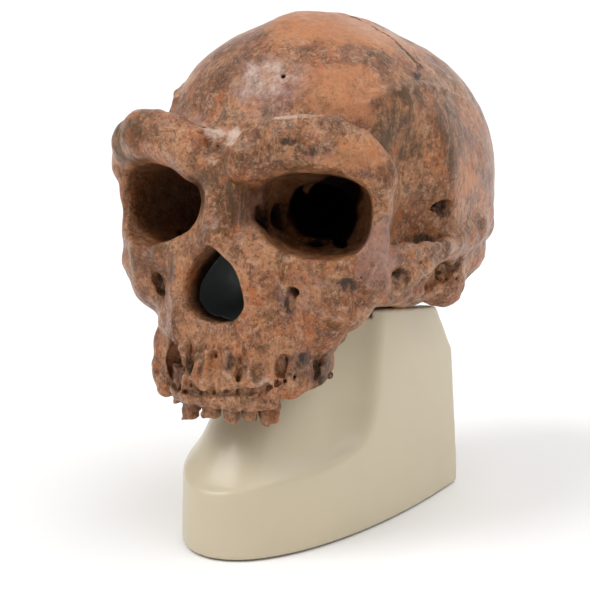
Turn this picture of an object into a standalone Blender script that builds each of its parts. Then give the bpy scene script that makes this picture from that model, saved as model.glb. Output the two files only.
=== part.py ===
"""Study model of a fossil human cranium, resting loosely on a moulded display stand.

Metres, +Z up, the face towards -Y. The origin is on the table, under the middle of the whole model.
The cranium is two hollow castings that meet along the coronal line, with a dark backing in the nose
and separate tooth stumps in sockets. The stand is a hollow moulding closed by a screwed base plate.
"""
import math

import bmesh
import bpy
from mathutils import Matrix, Vector

# Cranium, in its own frame: origin midway between the ear holes, +X to its left, +Y to the back
half_breadth = 0.072
cranium_length = 0.210
vault_height = 0.110
ear_height = 0.12565
face_up_tilt = math.radians(4.785)
wall_thickness = 0.0055
brow_thickness = 0.011
cheek_thickness = 0.008
arch_thickness = 0.0050
rim_thickness = 0.007
nose_thickness = 0.007
jaw_thickness = 0.011
ridge_thickness = 0.009
crest_thickness = 0.006
torus_thickness = 0.008
seam_gap = 0.0003
ear_hole_width = 0.009
ear_hole_depth = 0.0068
form_voxel = 0.0022
hollow_voxel = 0.0033
braincase_relaxing = 55
face_relaxing = 8
hollow_relaxing = 12
edge_relaxing = 3
backing_thickness = 0.003

# Tooth stumps
arch_power = 2.3
tooth_taper_share = 0.78
socket_clearance = 0.0003

# Stand
stand_length = 0.15174
stand_half_width = 0.0503
block_spare = 0.00885
stand_wall = 0.0040
top_slope = math.radians(7.4)
top_back_drop = 0.00455
back_slope = math.radians(33.6)
foot_lift = 0.0008
column_roof = 0.028
rest_trough_half_width = 0.036
step_clearance = 0.0035

# Fastened and fitted pieces
pad_diameter = 0.013
pad_thickness = 0.0026
pad_margin = 0.002
seat_gap = 0.0003
peg_diameter = 0.014
peg_setback = 0.002
peg_rise = 0.013
peg_root = 0.009
plate_thickness = 0.0026
plate_recess = 0.0006
plate_clearance = 0.0004
boss_diameter = 0.0095
screw_diameter = 0.0030
screw_head_diameter = 0.0062
screw_head_height = 0.0017
screw_length = 0.0110
screw_clearance = 0.0003
foot_diameter = 0.014
overrun = 0.020
weld_distance = 0.00001

# Places, as shares of half_breadth, cranium_length and vault_height, with radii as shares of a thickness
braincase_shares = (
    ((0.000, 0.022, 0.247), (1.014, 0.424, 0.682)),
    ((0.000, -0.143, 0.291), (0.931, 0.276, 0.636)),
    ((0.000, 0.238, 0.245), (0.764, 0.276, 0.473)),
    ((0.000, 0.005, 0.545), (0.389, 0.319, 0.455)),
)
face_shares = (
    ((0.000, -0.343, -0.145), (0.611, 0.133, 0.236)),
    ((0.000, -0.352, 0.309), (0.792, 0.105, 0.182)),
    ((0.458, -0.290, 0.173), (0.333, 0.133, 0.245)),
    ((-0.458, -0.290, 0.173), (0.333, 0.133, 0.245)),
    ((0.764, -0.319, 0.164), (0.111, 0.057, 0.200)),
    ((-0.764, -0.319, 0.164), (0.111, 0.057, 0.200)),
    ((0.431, -0.248, 0.000), (0.264, 0.114, 0.236)),
    ((-0.431, -0.248, 0.000), (0.264, 0.114, 0.236)),
    ((0.000, -0.267, -0.018), (0.389, 0.152, 0.236)),
    ((0.792, 0.067, -0.127), (0.153, 0.062, 0.155)),
    ((-0.792, 0.067, -0.127), (0.153, 0.062, 0.155)),
)
brow_shares = (
    ((0.000, -0.452, 0.336), 0.95),
    ((0.194, -0.460, 0.345), 1.00),
    ((0.389, -0.452, 0.409), 1.00),
    ((0.611, -0.433, 0.427), 0.95),
    ((0.792, -0.400, 0.382), 0.86),
    ((0.917, -0.362, 0.300), 0.68),
)
cheek_shares = (
    ((0.917, -0.357, 0.291), 0.94),
    ((0.889, -0.338, 0.182), 0.81),
    ((0.847, -0.338, 0.055), 0.94),
    ((0.806, -0.333, -0.091), 1.19),
    ((0.681, -0.343, -0.209), 1.12),
    ((0.528, -0.338, -0.309), 0.88),
)
arch_shares = (
    ((0.833, -0.314, -0.095), 1.54),
    ((0.942, -0.257, -0.042), 1.06),
    ((0.986, -0.176, -0.005), 0.88),
    ((0.981, -0.100, 0.016), 0.88),
    ((0.933, -0.024, 0.036), 1.00),
    ((0.861, 0.048, 0.064), 1.20),
)
lower_rim_shares = (
    ((0.208, -0.433, 0.091), 1.00),
    ((0.306, -0.438, 0.000), 1.07),
    ((0.472, -0.433, -0.045), 1.00),
    ((0.653, -0.405, -0.036), 1.00),
    ((0.806, -0.357, 0.036), 1.00),
)
nose_shares = (
    ((0.000, -0.438, 0.291), 1.43),
    ((0.000, -0.448, 0.200), 1.14),
    ((0.000, -0.490, 0.045), 0.86),
)
nose_side_shares = (
    ((0.139, -0.433, 0.236), 0.84),
    ((0.153, -0.440, 0.109), 0.88),
    ((0.188, -0.455, -0.018), 1.05),
    ((0.250, -0.453, -0.145), 1.05),
    ((0.268, -0.436, -0.245), 0.96),
)
tooth_ridge_shares = (
    ((0.000, -0.449, -0.482), 1.22),
    ((0.201, -0.438, -0.482), 1.18),
    ((0.361, -0.395, -0.473), 1.10),
    ((0.428, -0.340, -0.455), 0.98),
    ((0.438, -0.281, -0.436), 0.78),
)
upper_jaw_shares = (
    ((0.000, -0.438, -0.345), 1.00),
    ((0.222, -0.433, -0.327), 1.00),
    ((0.375, -0.395, -0.309), 1.00),
    ((0.444, -0.343, -0.309), 0.91),
    ((0.458, -0.290, -0.309), 0.82),
)
lobe_shares = (
    ((-0.472, -0.376, -0.345), 0.89),
    ((-0.472, -0.381, -0.436), 0.89),
    ((-0.458, -0.386, -0.527), 0.83),
)
crest_shares = (
    ((0.861, 0.000, 0.036), 1.08),
    ((0.917, 0.086, 0.073), 1.08),
    ((0.847, 0.181, 0.155), 0.92),
)
torus_shares = (
    ((0.000, 0.467, 0.073), 1.00),
    ((0.333, 0.433, 0.082), 1.00),
    ((0.611, 0.352, 0.073), 0.88),
)
temple_shares = (
    ((1.000, -0.219, 0.000), (0.292, 0.143, 0.327)),
    ((1.208, -0.248, 0.364), (0.431, 0.124, 0.264)),
)
form_thinning_share = 0.07
hollow_thinning_share = 0.12
seam_shares = ((-0.190, -0.182), (-0.143, 0.182), (-0.107, 0.455), (-0.088, 0.636), (-0.074, 0.745),
               (-0.060, 0.827), (-0.033, 0.909), (-0.014, 1.018), (-0.014, 1.200))
orbit_place_shares = (0.521, -0.400, 0.157)
orbit_axis_shares = (-0.38, 0.925, -0.02)
nose_top_share = 0.018
ear_hole_shares = (0.930, 0.019, -0.055)
fossa_shares = (0.680, -0.150)
base_flat_shares = (-0.219, 0.200)
base_rise_share = 0.42
base_depth_share = 0.2591
palate_roof_share = 0.4000
palate_place_share = -0.3143
foramen_place_share = 0.1048

# Sizes of openings and hollows: across, along and up, as shares of the same three
orbit_size_shares = (0.6390, 0.2190, 0.3270)
nose_size_shares = (0.4167, 0.2000, 0.3000)
palate_size_shares = (0.6806, 0.2571, 0.1818)
foramen_size_shares = (0.4306, 0.1762, 0.1000)
fossa_size_shares = (0.4722, 0.3143, 0.0727)

# Dental arch: its half width, place and reach, then root depth, stump top and longest drop
arch_width_share = 0.4514
arch_place_share = -0.2476
arch_reach_share = 0.2190
root_depth_share = 0.4818
stump_top_share = 0.5136
stump_drop_share = 0.1727
tooth_width_share = 0.1000

# Tooth stumps: place as a share of a quarter turn round the arch, then width and drop as shares
stump_shares = (
    (-0.890, 1.25, 0.25), (-0.765, 1.25, 0.28), (-0.645, 1.05, 0.30), (-0.530, 1.00, 0.36),
    (-0.400, 1.00, 0.62), (-0.242, 0.95, 1.00), (-0.009, 0.95, 0.84), (0.161, 0.90, 0.86),
    (0.308, 0.95, 0.76), (0.441, 1.00, 0.86), (0.550, 0.80, 0.29), (0.658, 0.95, 0.20),
    (0.775, 1.10, 0.28), (0.900, 1.20, 0.18),
)

# Places along the stand, as shares of its length, and heights, as shares of the block
stand_back_share = 0.2900
ring_centre_share = -0.0659
top_back_share = 0.1872
front_pad_share = -0.4086
column_front_share = 0.1186
column_width_share = 0.6163
back_slope_share = 0.6462
hollow_share = 0.2406

# Stand rings: height as a share of the block, then the core's half width, its reach, and the side panel's
# distance from the ring centre, as shares of the half width and of the length
ring_shares = (
    (0.000, 1.600, 0.900, 0.900),
    (0.120, 1.600, 0.900, 0.900),
    (0.255, 1.600, 0.900, 0.900),
    (0.272, 0.990, 0.646, 0.400),
    (0.300, 0.885, 0.618, 0.330),
    (0.340, 0.790, 0.590, 0.247),
    (0.390, 0.710, 0.561, 0.183),
    (0.455, 0.650, 0.527, 0.160),
    (0.540, 0.610, 0.481, 0.138),
    (0.650, 0.586, 0.428, 0.123),
    (0.755, 0.572, 0.379, 0.110),
    (0.850, 0.566, 0.335, 0.096),
    (1.000, 0.560, 0.300, 0.082),
)
footprint_power_length = 2.30
footprint_power_width = 2.10
core_power = 2.4
orbit_power = 2.7
braincase_power = 2.2
palate_power = 3.5
foramen_power = 2.4
corner_share = 0.02
front_angle_share = 0.45
corner_blend = 0.0140
boss_shares = ((0.50, -0.460), (-0.50, -0.460), (0.80, 0.115), (-0.80, 0.115))
foot_shares = ((0.30, -0.560), (-0.30, -0.560), (0.50, 0.175), (-0.50, 0.175))


def clear_scene():
    for thing in list(bpy.data.objects):
        bpy.data.objects.remove(thing, do_unlink=True)


def new_collection(name):
    collection = bpy.data.collections.new(name)
    bpy.context.scene.collection.children.link(collection)
    return collection


clear_scene()
model = new_collection("cranium_on_stand")
cutters = new_collection("cutters")


def new_frame(name, parent=None):
    frame = bpy.data.objects.new(name, None)
    model.objects.link(frame)
    frame.parent = parent
    return frame


# The whole model's frame, and the cranium's, over the ear holes' midpoint and tipped a little face-up
root = new_frame("model_frame")
cranium_frame = new_frame("cranium_frame", root)
cranium_frame.location = (0.0, 0.0, ear_height)
cranium_frame.rotation_euler = (-face_up_tilt, 0.0, 0.0)
working_frame = cranium_frame


def material(name, colour, roughness, metallic=0.0):
    made = bpy.data.materials.new(name)
    made.use_nodes = True
    shader = made.node_tree.nodes["Principled BSDF"]
    shader.inputs["Base Color"].default_value = (*colour, 1.0)
    shader.inputs["Roughness"].default_value = roughness
    shader.inputs["Metallic"].default_value = metallic
    return made


fossil_brown = material("fossil_brown", (0.300, 0.125, 0.065), 0.42)
stump_brown = material("stump_brown", (0.220, 0.090, 0.045), 0.45)
cavity_black = material("cavity_black", (0.012, 0.014, 0.013), 0.35)
stand_ivory = material("stand_ivory", (0.600, 0.500, 0.335), 0.48)
plate_ivory = material("plate_ivory", (0.500, 0.420, 0.290), 0.55)
pad_rubber = material("pad_rubber", (0.030, 0.030, 0.030), 0.80)
screw_steel = material("screw_steel", (0.560, 0.560, 0.550), 0.32, 1.0)


def add_object(name, data, collection, parent=None):
    thing = bpy.data.objects.new(name, data)
    collection.objects.link(thing)
    thing.parent = parent or working_frame
    if collection is cutters:
        thing.hide_render = True
        thing.display_type = "WIRE"
    return thing


def from_bmesh(name, bm, collection, parent=None):
    bmesh.ops.recalc_face_normals(bm, faces=bm.faces)
    mesh = bpy.data.meshes.new(name)
    bm.to_mesh(mesh)
    bm.free()
    return add_object(name, mesh, collection, parent)


def place(shares):
    return Vector((shares[0] * half_breadth, shares[1] * cranium_length, shares[2] * vault_height))


base_depth = base_depth_share * vault_height
palate_roof_depth = palate_roof_share * vault_height
palate_place = palate_place_share * cranium_length
foramen_place = foramen_place_share * cranium_length
orbit_width, orbit_depth, orbit_height = place(orbit_size_shares)
nose_width, nose_depth, nose_height = place(nose_size_shares)
palate_width, palate_length, palate_height = place(palate_size_shares)
foramen_width, foramen_length, foramen_depth = place(foramen_size_shares)
fossa_width, fossa_length, fossa_height = place(fossa_size_shares)
arch_half_width = arch_width_share * half_breadth
arch_place = arch_place_share * cranium_length
arch_reach = arch_reach_share * cranium_length
root_depth = root_depth_share * vault_height
stump_top = stump_top_share * vault_height
stump_drop = stump_drop_share * vault_height
tooth_width = tooth_width_share * half_breadth


def mirrored(shares):
    return tuple(((-x, y, z), size) for (x, y, z), size in shares)


def ball(name, centre, radii, collection, turn=None, power=2.0, finer=0):
    """An ellipsoid, or with a higher power a rounded block, from a sphere primitive."""
    bm = bmesh.new()
    bmesh.ops.create_uvsphere(bm, u_segments=24 + 8 * finer, v_segments=14 + 4 * finer, radius=1.0)
    for vert in bm.verts:
        reach = sum(abs(part) ** power for part in vert.co) ** (-1.0 / power)
        unit = vert.co * reach
        shaped = Vector((unit.x * radii[0], unit.y * radii[1], unit.z * radii[2]))
        if turn:
            shaped = turn @ shaped
        vert.co = shaped + centre
    return from_bmesh(name, bm, collection)


def limb(name, shares, thickness, collection):
    """A curve that swells and thins along its way, made a closed mesh with a ball at each end."""
    curve = bpy.data.curves.new(name, "CURVE")
    curve.dimensions = "3D"
    curve.bevel_depth = thickness
    curve.bevel_resolution = 4
    curve.resolution_u = 6
    curve.use_fill_caps = True
    spline = curve.splines.new("BEZIER")
    spline.bezier_points.add(len(shares) - 1)
    for point, (spot, size) in zip(spline.bezier_points, shares):
        point.co = place(spot)
        point.radius = size
        point.handle_left_type = "AUTO"
        point.handle_right_type = "AUTO"
    guide = add_object(name, curve, cutters)
    state = bpy.context.evaluated_depsgraph_get()
    mesh = bpy.data.meshes.new_from_object(guide.evaluated_get(state))
    bm = bmesh.new()
    bm.from_mesh(mesh)
    bmesh.ops.remove_doubles(bm, verts=bm.verts, dist=weld_distance)
    tube = from_bmesh(name, bm, collection)
    tube.matrix_world = guide.matrix_world
    bpy.data.objects.remove(guide, do_unlink=True)
    ends = []
    for spot, size in (shares[0], shares[-1]):
        radius = size * thickness
        ends.append(ball(name + "_end", place(spot), (radius, radius, radius), collection))
    return [tube] + ends


def largest_island(bm):
    """Drops every vertex that isn't in the largest connected body."""
    unseen = set(bm.verts)
    best = set()
    while unseen:
        start = unseen.pop()
        island = {start}
        edge_of_island = [start]
        while edge_of_island:
            for edge in edge_of_island.pop().link_edges:
                for vert in edge.verts:
                    if vert in unseen:
                        unseen.discard(vert)
                        island.add(vert)
                        edge_of_island.append(vert)
        if len(island) > len(best):
            best = island
    bmesh.ops.delete(bm, geom=[vert for vert in bm.verts if vert not in best], context="VERTS")


def fused(name, pieces, voxel, smoothing, ratio, collection):
    """One smooth closed form from overlapping pieces: joined, remeshed, relaxed and thinned."""
    bm = bmesh.new()
    for piece in pieces:
        bm.from_mesh(piece.data)
    joined = from_bmesh(name + "_pieces", bm, cutters)
    remesh = joined.modifiers.new("remesh", "REMESH")
    remesh.mode = "VOXEL"
    remesh.voxel_size = voxel
    relax = joined.modifiers.new("relax", "SMOOTH")
    relax.factor = 0.5
    relax.iterations = smoothing
    if ratio < 1:
        thin = joined.modifiers.new("thin", "DECIMATE")
        thin.ratio = ratio
        thin.use_collapse_triangulate = True
    state = bpy.context.evaluated_depsgraph_get()
    mesh = bpy.data.meshes.new_from_object(joined.evaluated_get(state))
    for piece in pieces:
        bpy.data.objects.remove(piece, do_unlink=True)
    bpy.data.objects.remove(joined, do_unlink=True)
    bm = bmesh.new()
    bm.from_mesh(mesh)
    bpy.data.meshes.remove(mesh)
    largest_island(bm)
    return from_bmesh(name, bm, collection)


def block(name, low, high, collection, turn=None, parent=None):
    """A box primitive between two corners, turned about the origin if asked."""
    bm = bmesh.new()
    bmesh.ops.create_cube(bm, size=1.0)
    middle = (Vector(low) + Vector(high)) / 2
    size = Vector(high) - Vector(low)
    for vert in bm.verts:
        spot = Vector((vert.co.x * size.x, vert.co.y * size.y, vert.co.z * size.z)) + middle
        vert.co = turn @ spot if turn else spot
    return from_bmesh(name, bm, collection, parent)


def rod(name, radius, low, high, spot, collection, sides=20, tip_share=1.0, parent=None):
    """An upright cylinder, or a cone whose lower end is tip_share as wide, between two heights."""
    bm = bmesh.new()
    bmesh.ops.create_cone(bm, cap_ends=True, segments=sides, radius1=radius * tip_share,
                          radius2=radius, depth=high - low)
    middle = (low + high) / 2
    for vert in bm.verts:
        vert.co += Vector((spot[0], spot[1], middle))
    return from_bmesh(name, bm, collection, parent)


def prism(name, outline, depth, collection):
    """A flat outline in the Y-Z plane, pushed both ways along X."""
    curve = bpy.data.curves.new(name, "CURVE")
    curve.dimensions = "2D"
    curve.fill_mode = "BOTH"
    curve.extrude = depth / 2
    spline = curve.splines.new("POLY")
    spline.points.add(len(outline) - 1)
    for point, (across, up) in zip(spline.points, outline):
        point.co = (across, up, 0.0, 1.0)
    spline.use_cyclic_u = True
    guide = add_object(name, curve, cutters)
    state = bpy.context.evaluated_depsgraph_get()
    mesh = bpy.data.meshes.new_from_object(guide.evaluated_get(state))
    bpy.data.objects.remove(guide, do_unlink=True)
    bm = bmesh.new()
    bm.from_mesh(mesh)
    bmesh.ops.remove_doubles(bm, verts=bm.verts, dist=weld_distance)
    stand_up = Matrix(((0.0, 0.0, 1.0), (1.0, 0.0, 0.0), (0.0, 1.0, 0.0)))
    for vert in bm.verts:
        vert.co = stand_up @ vert.co
    return from_bmesh(name, bm, collection)


def combine(target, other, way="DIFFERENCE"):
    change = target.modifiers.new(other.name, "BOOLEAN")
    change.operation = way
    change.solver = "EXACT"
    change.object = other


def baked(source, name, collection):
    """The evaluated shape of a source, as a plain mesh object."""
    state = bpy.context.evaluated_depsgraph_get()
    mesh = bpy.data.meshes.new_from_object(source.evaluated_get(state))
    mesh.name = name
    return add_object(name, mesh, collection)


def temple_cutters(name, grow):
    """The hollows of the temples: a lower one inside each cheek arch and one behind each end of the brow."""
    cuts = []
    for index, (centre, radii) in enumerate(temple_shares):
        size = place(radii) + Vector((grow, grow, grow))
        for side, label in ((1, "left"), (-1, "right")):
            spot = place((side * centre[0], centre[1], centre[2]))
            cuts.append(ball("%s_%s_%d" % (name, label, index), spot, size, cutters, finer=1))
    return cuts


def finish(thing, look, crease_angle=math.radians(35.0)):
    thing.data.materials.clear()
    thing.data.materials.append(look)
    thing.data.shade_smooth()
    thing.data.set_sharp_from_angle(angle=crease_angle)


# Cranium form, both sides, before any opening
braincase_pieces = []
for index, (centre, radii) in enumerate(braincase_shares):
    braincase_pieces.append(ball("braincase_mass_%d" % index, place(centre), place(radii), cutters,
                                 power=braincase_power, finer=2))
braincase_raw = fused("braincase_raw", braincase_pieces, form_voxel, braincase_relaxing, 1.0, cutters)
for cutter in temple_cutters("temple", 0.0):
    combine(braincase_raw, cutter)
form_pieces = [baked(braincase_raw, "braincase_form", cutters)]
for index, (centre, radii) in enumerate(face_shares):
    form_pieces.append(ball("face_mass_%d" % index, place(centre), place(radii), cutters, finer=2))
for label, shares, thickness in (
        ("brow", brow_shares, brow_thickness), ("cheek", cheek_shares, cheek_thickness),
        ("arch", arch_shares, arch_thickness), ("lower_rim", lower_rim_shares, rim_thickness),
        ("nose_side", nose_side_shares, nose_thickness), ("ridge", tooth_ridge_shares, ridge_thickness),
        ("upper_jaw", upper_jaw_shares, jaw_thickness), ("crest", crest_shares, crest_thickness),
        ("torus", torus_shares, torus_thickness)):
    form_pieces += limb(label + "_left", shares, thickness, cutters)
    form_pieces += limb(label + "_right", mirrored(shares), thickness, cutters)
form_pieces += limb("nose_bridge", nose_shares, nose_thickness, cutters)
form_pieces += limb("hanging_lobe", lobe_shares, ridge_thickness, cutters)
cranium_form = fused("cranium_form", form_pieces, form_voxel, face_relaxing, form_thinning_share, cutters)

# The flat underside of the base, behind the palate, and the rising plane under the nape
base_front = base_flat_shares[0] * cranium_length
base_back = base_flat_shares[1] * cranium_length
reach = cranium_length


def base_below(name, front, lift):
    """Everything under the base, or under a floor that lies higher by lift."""
    level = lift - base_depth
    far = base_back + reach
    return prism(name, (
        (front, level), (base_back, level), (far, level + base_rise_share * reach), (far, -reach),
        (front, -reach)), 4 * half_breadth, cutters)


base_cut = base_below("base_cut", base_front, 0.0)

# The seam between the castings: straight down under the base, then up and back along the coronal line
seam_line = [(along * cranium_length, up * vault_height) for along, up in seam_shares]


def side_of_seam(name, toward, offset):
    step = toward * offset
    far = toward * reach
    outline = [(seam_line[0][0] + step, -reach)]
    outline += [(along + step, up) for along, up in seam_line]
    outline += [(far, seam_line[-1][1]), (far, -reach)]
    return prism(name, outline, 4 * half_breadth, cutters)


front_side = side_of_seam("front_side", -1, seam_gap / 2)
rear_side = side_of_seam("rear_side", 1, seam_gap / 2)


def orbit_cutter(name, side, grow, collection):
    """A rounded block whose long axis runs back and inwards from the orbit's rim."""
    axis = Vector((side * orbit_axis_shares[0], orbit_axis_shares[1], orbit_axis_shares[2])).normalized()
    across = axis.cross(Vector((0, 0, 1))).normalized()
    upward = across.cross(axis).normalized()
    turn = Matrix((across, axis, upward)).transposed()
    centre = place((side * orbit_place_shares[0], orbit_place_shares[1], orbit_place_shares[2]))
    radii = (orbit_width / 2 + grow, orbit_depth + grow, orbit_height / 2 + grow)
    return ball(name, centre, radii, collection, turn=turn, power=orbit_power)


orbits = [orbit_cutter("orbit_left", 1, 0.0, cutters), orbit_cutter("orbit_right", -1, 0.0, cutters)]
orbit_walls = [orbit_cutter("orbit_wall_left", 1, wall_thickness, cutters),
               orbit_cutter("orbit_wall_right", -1, wall_thickness, cutters)]

# Cranial hollow: the braincase masses drawn in by the wall, clear of the orbits and above the base
hollow_pieces = []
for index, (centre, radii) in enumerate(braincase_shares[:3]):
    inner = place(radii) - Vector((wall_thickness, wall_thickness, wall_thickness))
    hollow_pieces.append(ball("hollow_mass_%d" % index, place(centre), inner, cutters, finer=1))
hollow_raw = fused("hollow_raw", hollow_pieces, hollow_voxel, hollow_relaxing, 1.0, cutters)
floor_cut = base_below("floor_cut", -reach, wall_thickness)
combine(hollow_raw, floor_cut)
for wall in orbit_walls + temple_cutters("temple_wall", wall_thickness):
    combine(hollow_raw, wall)
hollow_cut = baked(hollow_raw, "hollow_cut", cutters)
hollow = fused("cranial_hollow", [hollow_cut], hollow_voxel, edge_relaxing, hollow_thinning_share, cutters)

# Pear-shaped nasal opening
nose_top = nose_top_share * vault_height
nose_outline_shares = ((0.00, 0.00), (0.22, -0.08), (0.46, -0.24), (0.72, -0.46), (0.97, -0.70),
                       (0.92, -0.86), (0.66, -0.96), (0.25, -1.00))
nose_points = [(a * nose_width / 2, nose_top + b * nose_height) for a, b in nose_outline_shares]
nose_points += [(-a, b) for a, b in reversed(nose_points[1:])]
nose_face = -cranium_length / 2 - overrun
nose_back = nose_face + overrun + nose_depth
nose_middle = nose_top - nose_height / 2
bm = bmesh.new()
front_loop = [bm.verts.new((a, nose_face, b)) for a, b in nose_points]
back_loop = [bm.verts.new((a, nose_back, b)) for a, b in nose_points]
bm.faces.new(front_loop)
bm.faces.new(back_loop)
for index in range(len(nose_points)):
    after = (index + 1) % len(nose_points)
    bm.faces.new((front_loop[index], front_loop[after], back_loop[after], back_loop[index]))
nose_cut = from_bmesh("nose_cut", bm, cutters)

# Palate with a nearly flat roof, the hole for the spinal cord, and the ear holes
palate_cut = ball("palate_cut", Vector((0.0, palate_place, -palate_roof_depth - palate_height)),
                  Vector((palate_width / 2, palate_length / 2, palate_height)), cutters, power=palate_power)
foramen_cut = ball("foramen_cut", Vector((0.0, foramen_place, -base_depth)),
                   Vector((foramen_width / 2, foramen_length / 2, foramen_depth)), cutters,
                   power=foramen_power)
ear_size = Vector((ear_hole_depth, ear_hole_width / 2, ear_hole_width / 2))
fossa_size = Vector((fossa_width / 2, fossa_length / 2, fossa_height))
ear_cuts = []
fossa_cuts = []
for side, label in ((1, "left"), (-1, "right")):
    spot = place((side * ear_hole_shares[0], ear_hole_shares[1], ear_hole_shares[2]))
    ear_cuts.append(ball("ear_cut_" + label, spot, ear_size, cutters))
    spot = Vector((side * fossa_shares[0] * half_breadth, fossa_shares[1] * cranium_length, -base_depth))
    fossa_cuts.append(ball("fossa_cut_" + label, spot, fossa_size, cutters))


def stump_spot(share):
    """A place on the dental arch, by its share of a quarter turn from the front."""
    angle = share * math.pi / 2
    sine = math.sin(angle)
    cosine = math.cos(angle)
    size = (abs(sine) ** arch_power + abs(cosine) ** arch_power) ** (-1 / arch_power)
    return Vector((arch_half_width * size * sine, arch_place - arch_reach * size * cosine))


socket_cuts = []
stumps = []
for index, (share, width_share, drop_share) in enumerate(stump_shares):
    spot = stump_spot(share)
    radius = tooth_width * width_share / 2
    tip = -stump_top - stump_drop * drop_share
    name = "tooth_stump_%02d" % (index + 1)
    stump = rod(name, radius, tip, -root_depth, spot, model, 12, tooth_taper_share)
    finish(stump, stump_brown)
    stumps.append(stump)
    socket_cuts.append(rod("socket_%02d" % (index + 1), radius + socket_clearance, tip,
                           -root_depth + socket_clearance, spot, cutters, 12))

face_casting = baked(cranium_form, "face_casting", model)
combine(face_casting, front_side, "INTERSECT")
for cutter in [hollow, nose_cut, palate_cut, base_cut] + orbits + fossa_cuts + socket_cuts:
    combine(face_casting, cutter)
finish(face_casting, fossil_brown)

braincase_casting = baked(cranium_form, "braincase_casting", model)
combine(braincase_casting, rear_side, "INTERSECT")
for cutter in [hollow, base_cut, foramen_cut] + ear_cuts + fossa_cuts:
    combine(braincase_casting, cutter)
finish(braincase_casting, fossil_brown)

# Dark backing at the far end of the nasal opening
backing_points = [(a * (1 - 2 * seat_gap / nose_width), b - (b - nose_middle) * 2 * seat_gap / nose_height)
                  for a, b in nose_points]
bm = bmesh.new()
backing_far = nose_back - seat_gap
backing_near = backing_far - backing_thickness
front_loop = [bm.verts.new((a, backing_near, b)) for a, b in backing_points]
back_loop = [bm.verts.new((a, backing_far, b)) for a, b in backing_points]
bm.faces.new(front_loop)
bm.faces.new(back_loop)
for index in range(len(backing_points)):
    after = (index + 1) % len(backing_points)
    bm.faces.new((front_loop[index], front_loop[after], back_loop[after], back_loop[index]))
nasal_backing = from_bmesh("nasal_backing", bm, model)
finish(nasal_backing, cavity_black)


# Stand: horizontal rings, each the footprint drawn in to the core and the side panels
working_frame = root
stand_back = stand_back_share * stand_length
ring_centre = ring_centre_share * stand_length
stand_block_height = ear_height - base_depth + block_spare
top_back_height = ear_height - base_depth - top_back_drop
top_back_place = top_back_share * stand_length
back_slope_height = back_slope_share * stand_block_height
hollow_height = hollow_share * stand_block_height
column_front = column_front_share * stand_length
column_half_width = column_width_share * stand_half_width
column_height = stand_block_height - column_roof
peg_place = foramen_place - peg_setback
front_pad_place = front_pad_share * stand_length
rear_pad_place = peg_place
rear_pad_spread = (foramen_width + pad_diameter) / 2 + pad_margin


def power_reach(sine, cosine, half_width, length, power):
    return (abs(sine / half_width) ** power + abs(cosine / length) ** power) ** (-1 / power)


def footprint_reach(sine, cosine):
    """How far the footprint lies from the ring centre along one direction, found by halving."""
    near = 0.0
    far = stand_length + stand_half_width
    for _ in range(40):
        middle = (near + far) / 2
        along = (stand_back - ring_centre + middle * cosine) / stand_length
        across = abs(middle * sine) / stand_half_width
        outside = along < 0 or along ** footprint_power_length + across ** footprint_power_width > 1
        if outside:
            far = middle
        else:
            near = middle
    return near


corner_angle = math.pi - math.atan2(stand_half_width, stand_back - ring_centre)
front_angle = front_angle_share * math.pi
half_angles = [front_angle * step / 22 for step in range(22)]
half_angles += [front_angle + (corner_angle - front_angle) * step / 5 for step in range(5)]
half_angles += [corner_angle + (math.pi - corner_angle) * step / 3 for step in range(4)]
angles = half_angles + [2 * math.pi - angle for angle in reversed(half_angles[1:-1])]


def ring_reach(angle, core_width, core_length, panel_distance):
    sine = math.sin(angle)
    cosine = math.cos(angle)
    outer = footprint_reach(sine, cosine)
    if cosine <= 0:
        return outer
    core = power_reach(sine, cosine, core_width, core_length, core_power)
    panel = panel_distance / max(cosine, corner_share)
    larger = max(core, panel)
    apart = abs(core - panel)
    if apart < corner_blend:
        larger += (corner_blend - apart) ** 2 / (4 * corner_blend)
    return min(outer, larger)


def loft(name, rings, collection):
    """Skins a list of (height, points) rings of equal count and closes both ends."""
    bm = bmesh.new()
    loops = []
    for height, points in rings:
        loops.append([bm.verts.new((across, along, height)) for across, along in points])
    for lower, upper in zip(loops, loops[1:]):
        for index in range(len(lower)):
            after = (index + 1) % len(lower)
            bm.faces.new((lower[index], lower[after], upper[after], upper[index]))
    bmesh.ops.triangulate(bm, faces=bm.faces)
    bm.faces.new(loops[0])
    bm.faces.new(loops[-1])
    return from_bmesh(name, bm, collection)


def ring_points(core_share, length_share, panel_share, drawn_in):
    points = []
    for angle in angles:
        size = ring_reach(angle, core_share * stand_half_width, length_share * stand_length,
                          panel_share * stand_length)
        size -= drawn_in
        points.append((size * math.sin(angle), ring_centre - size * math.cos(angle)))
    return points


stand_rings = []
for height_share, core_share, length_share, panel_share in ring_shares:
    height = foot_lift + height_share * (stand_block_height - foot_lift)
    stand_rings.append((height, ring_points(core_share, length_share, panel_share, 0.0)))
stand_shell = loft("stand_shell", stand_rings, model)

# Sloping top and back, cut with boxes turned about X
big = 2 * stand_length
top_turn = Matrix.Rotation(-top_slope, 3, "X")
top_cut = block("top_cut", (-big, -big, 0.0), (big, big, big), cutters, turn=top_turn)
top_cut.location = (0.0, top_back_place, top_back_height)
back_turn = Matrix.Rotation(back_slope, 3, "X")
back_cut = block("back_cut", (-big, 0.0, -big), (big, big, big), cutters, turn=back_turn)
back_cut.location = (0.0, stand_back, back_slope_height)

# In the cranium's frame, what carries it: a shallow trough and the plateau under the palate
trough_floor = -base_depth - pad_thickness - 2 * seat_gap
plateau = -palate_roof_depth - pad_thickness - 2 * seat_gap
plateau_back = base_front + step_clearance
rest_trough = block("rest_trough", (-rest_trough_half_width, plateau_back - overrun, trough_floor),
                    (rest_trough_half_width, big, big), cutters, parent=cranium_frame)
plateau_cut = block("plateau_cut", (-big, -big, plateau), (big, plateau_back, big), cutters,
                    parent=cranium_frame)

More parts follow.
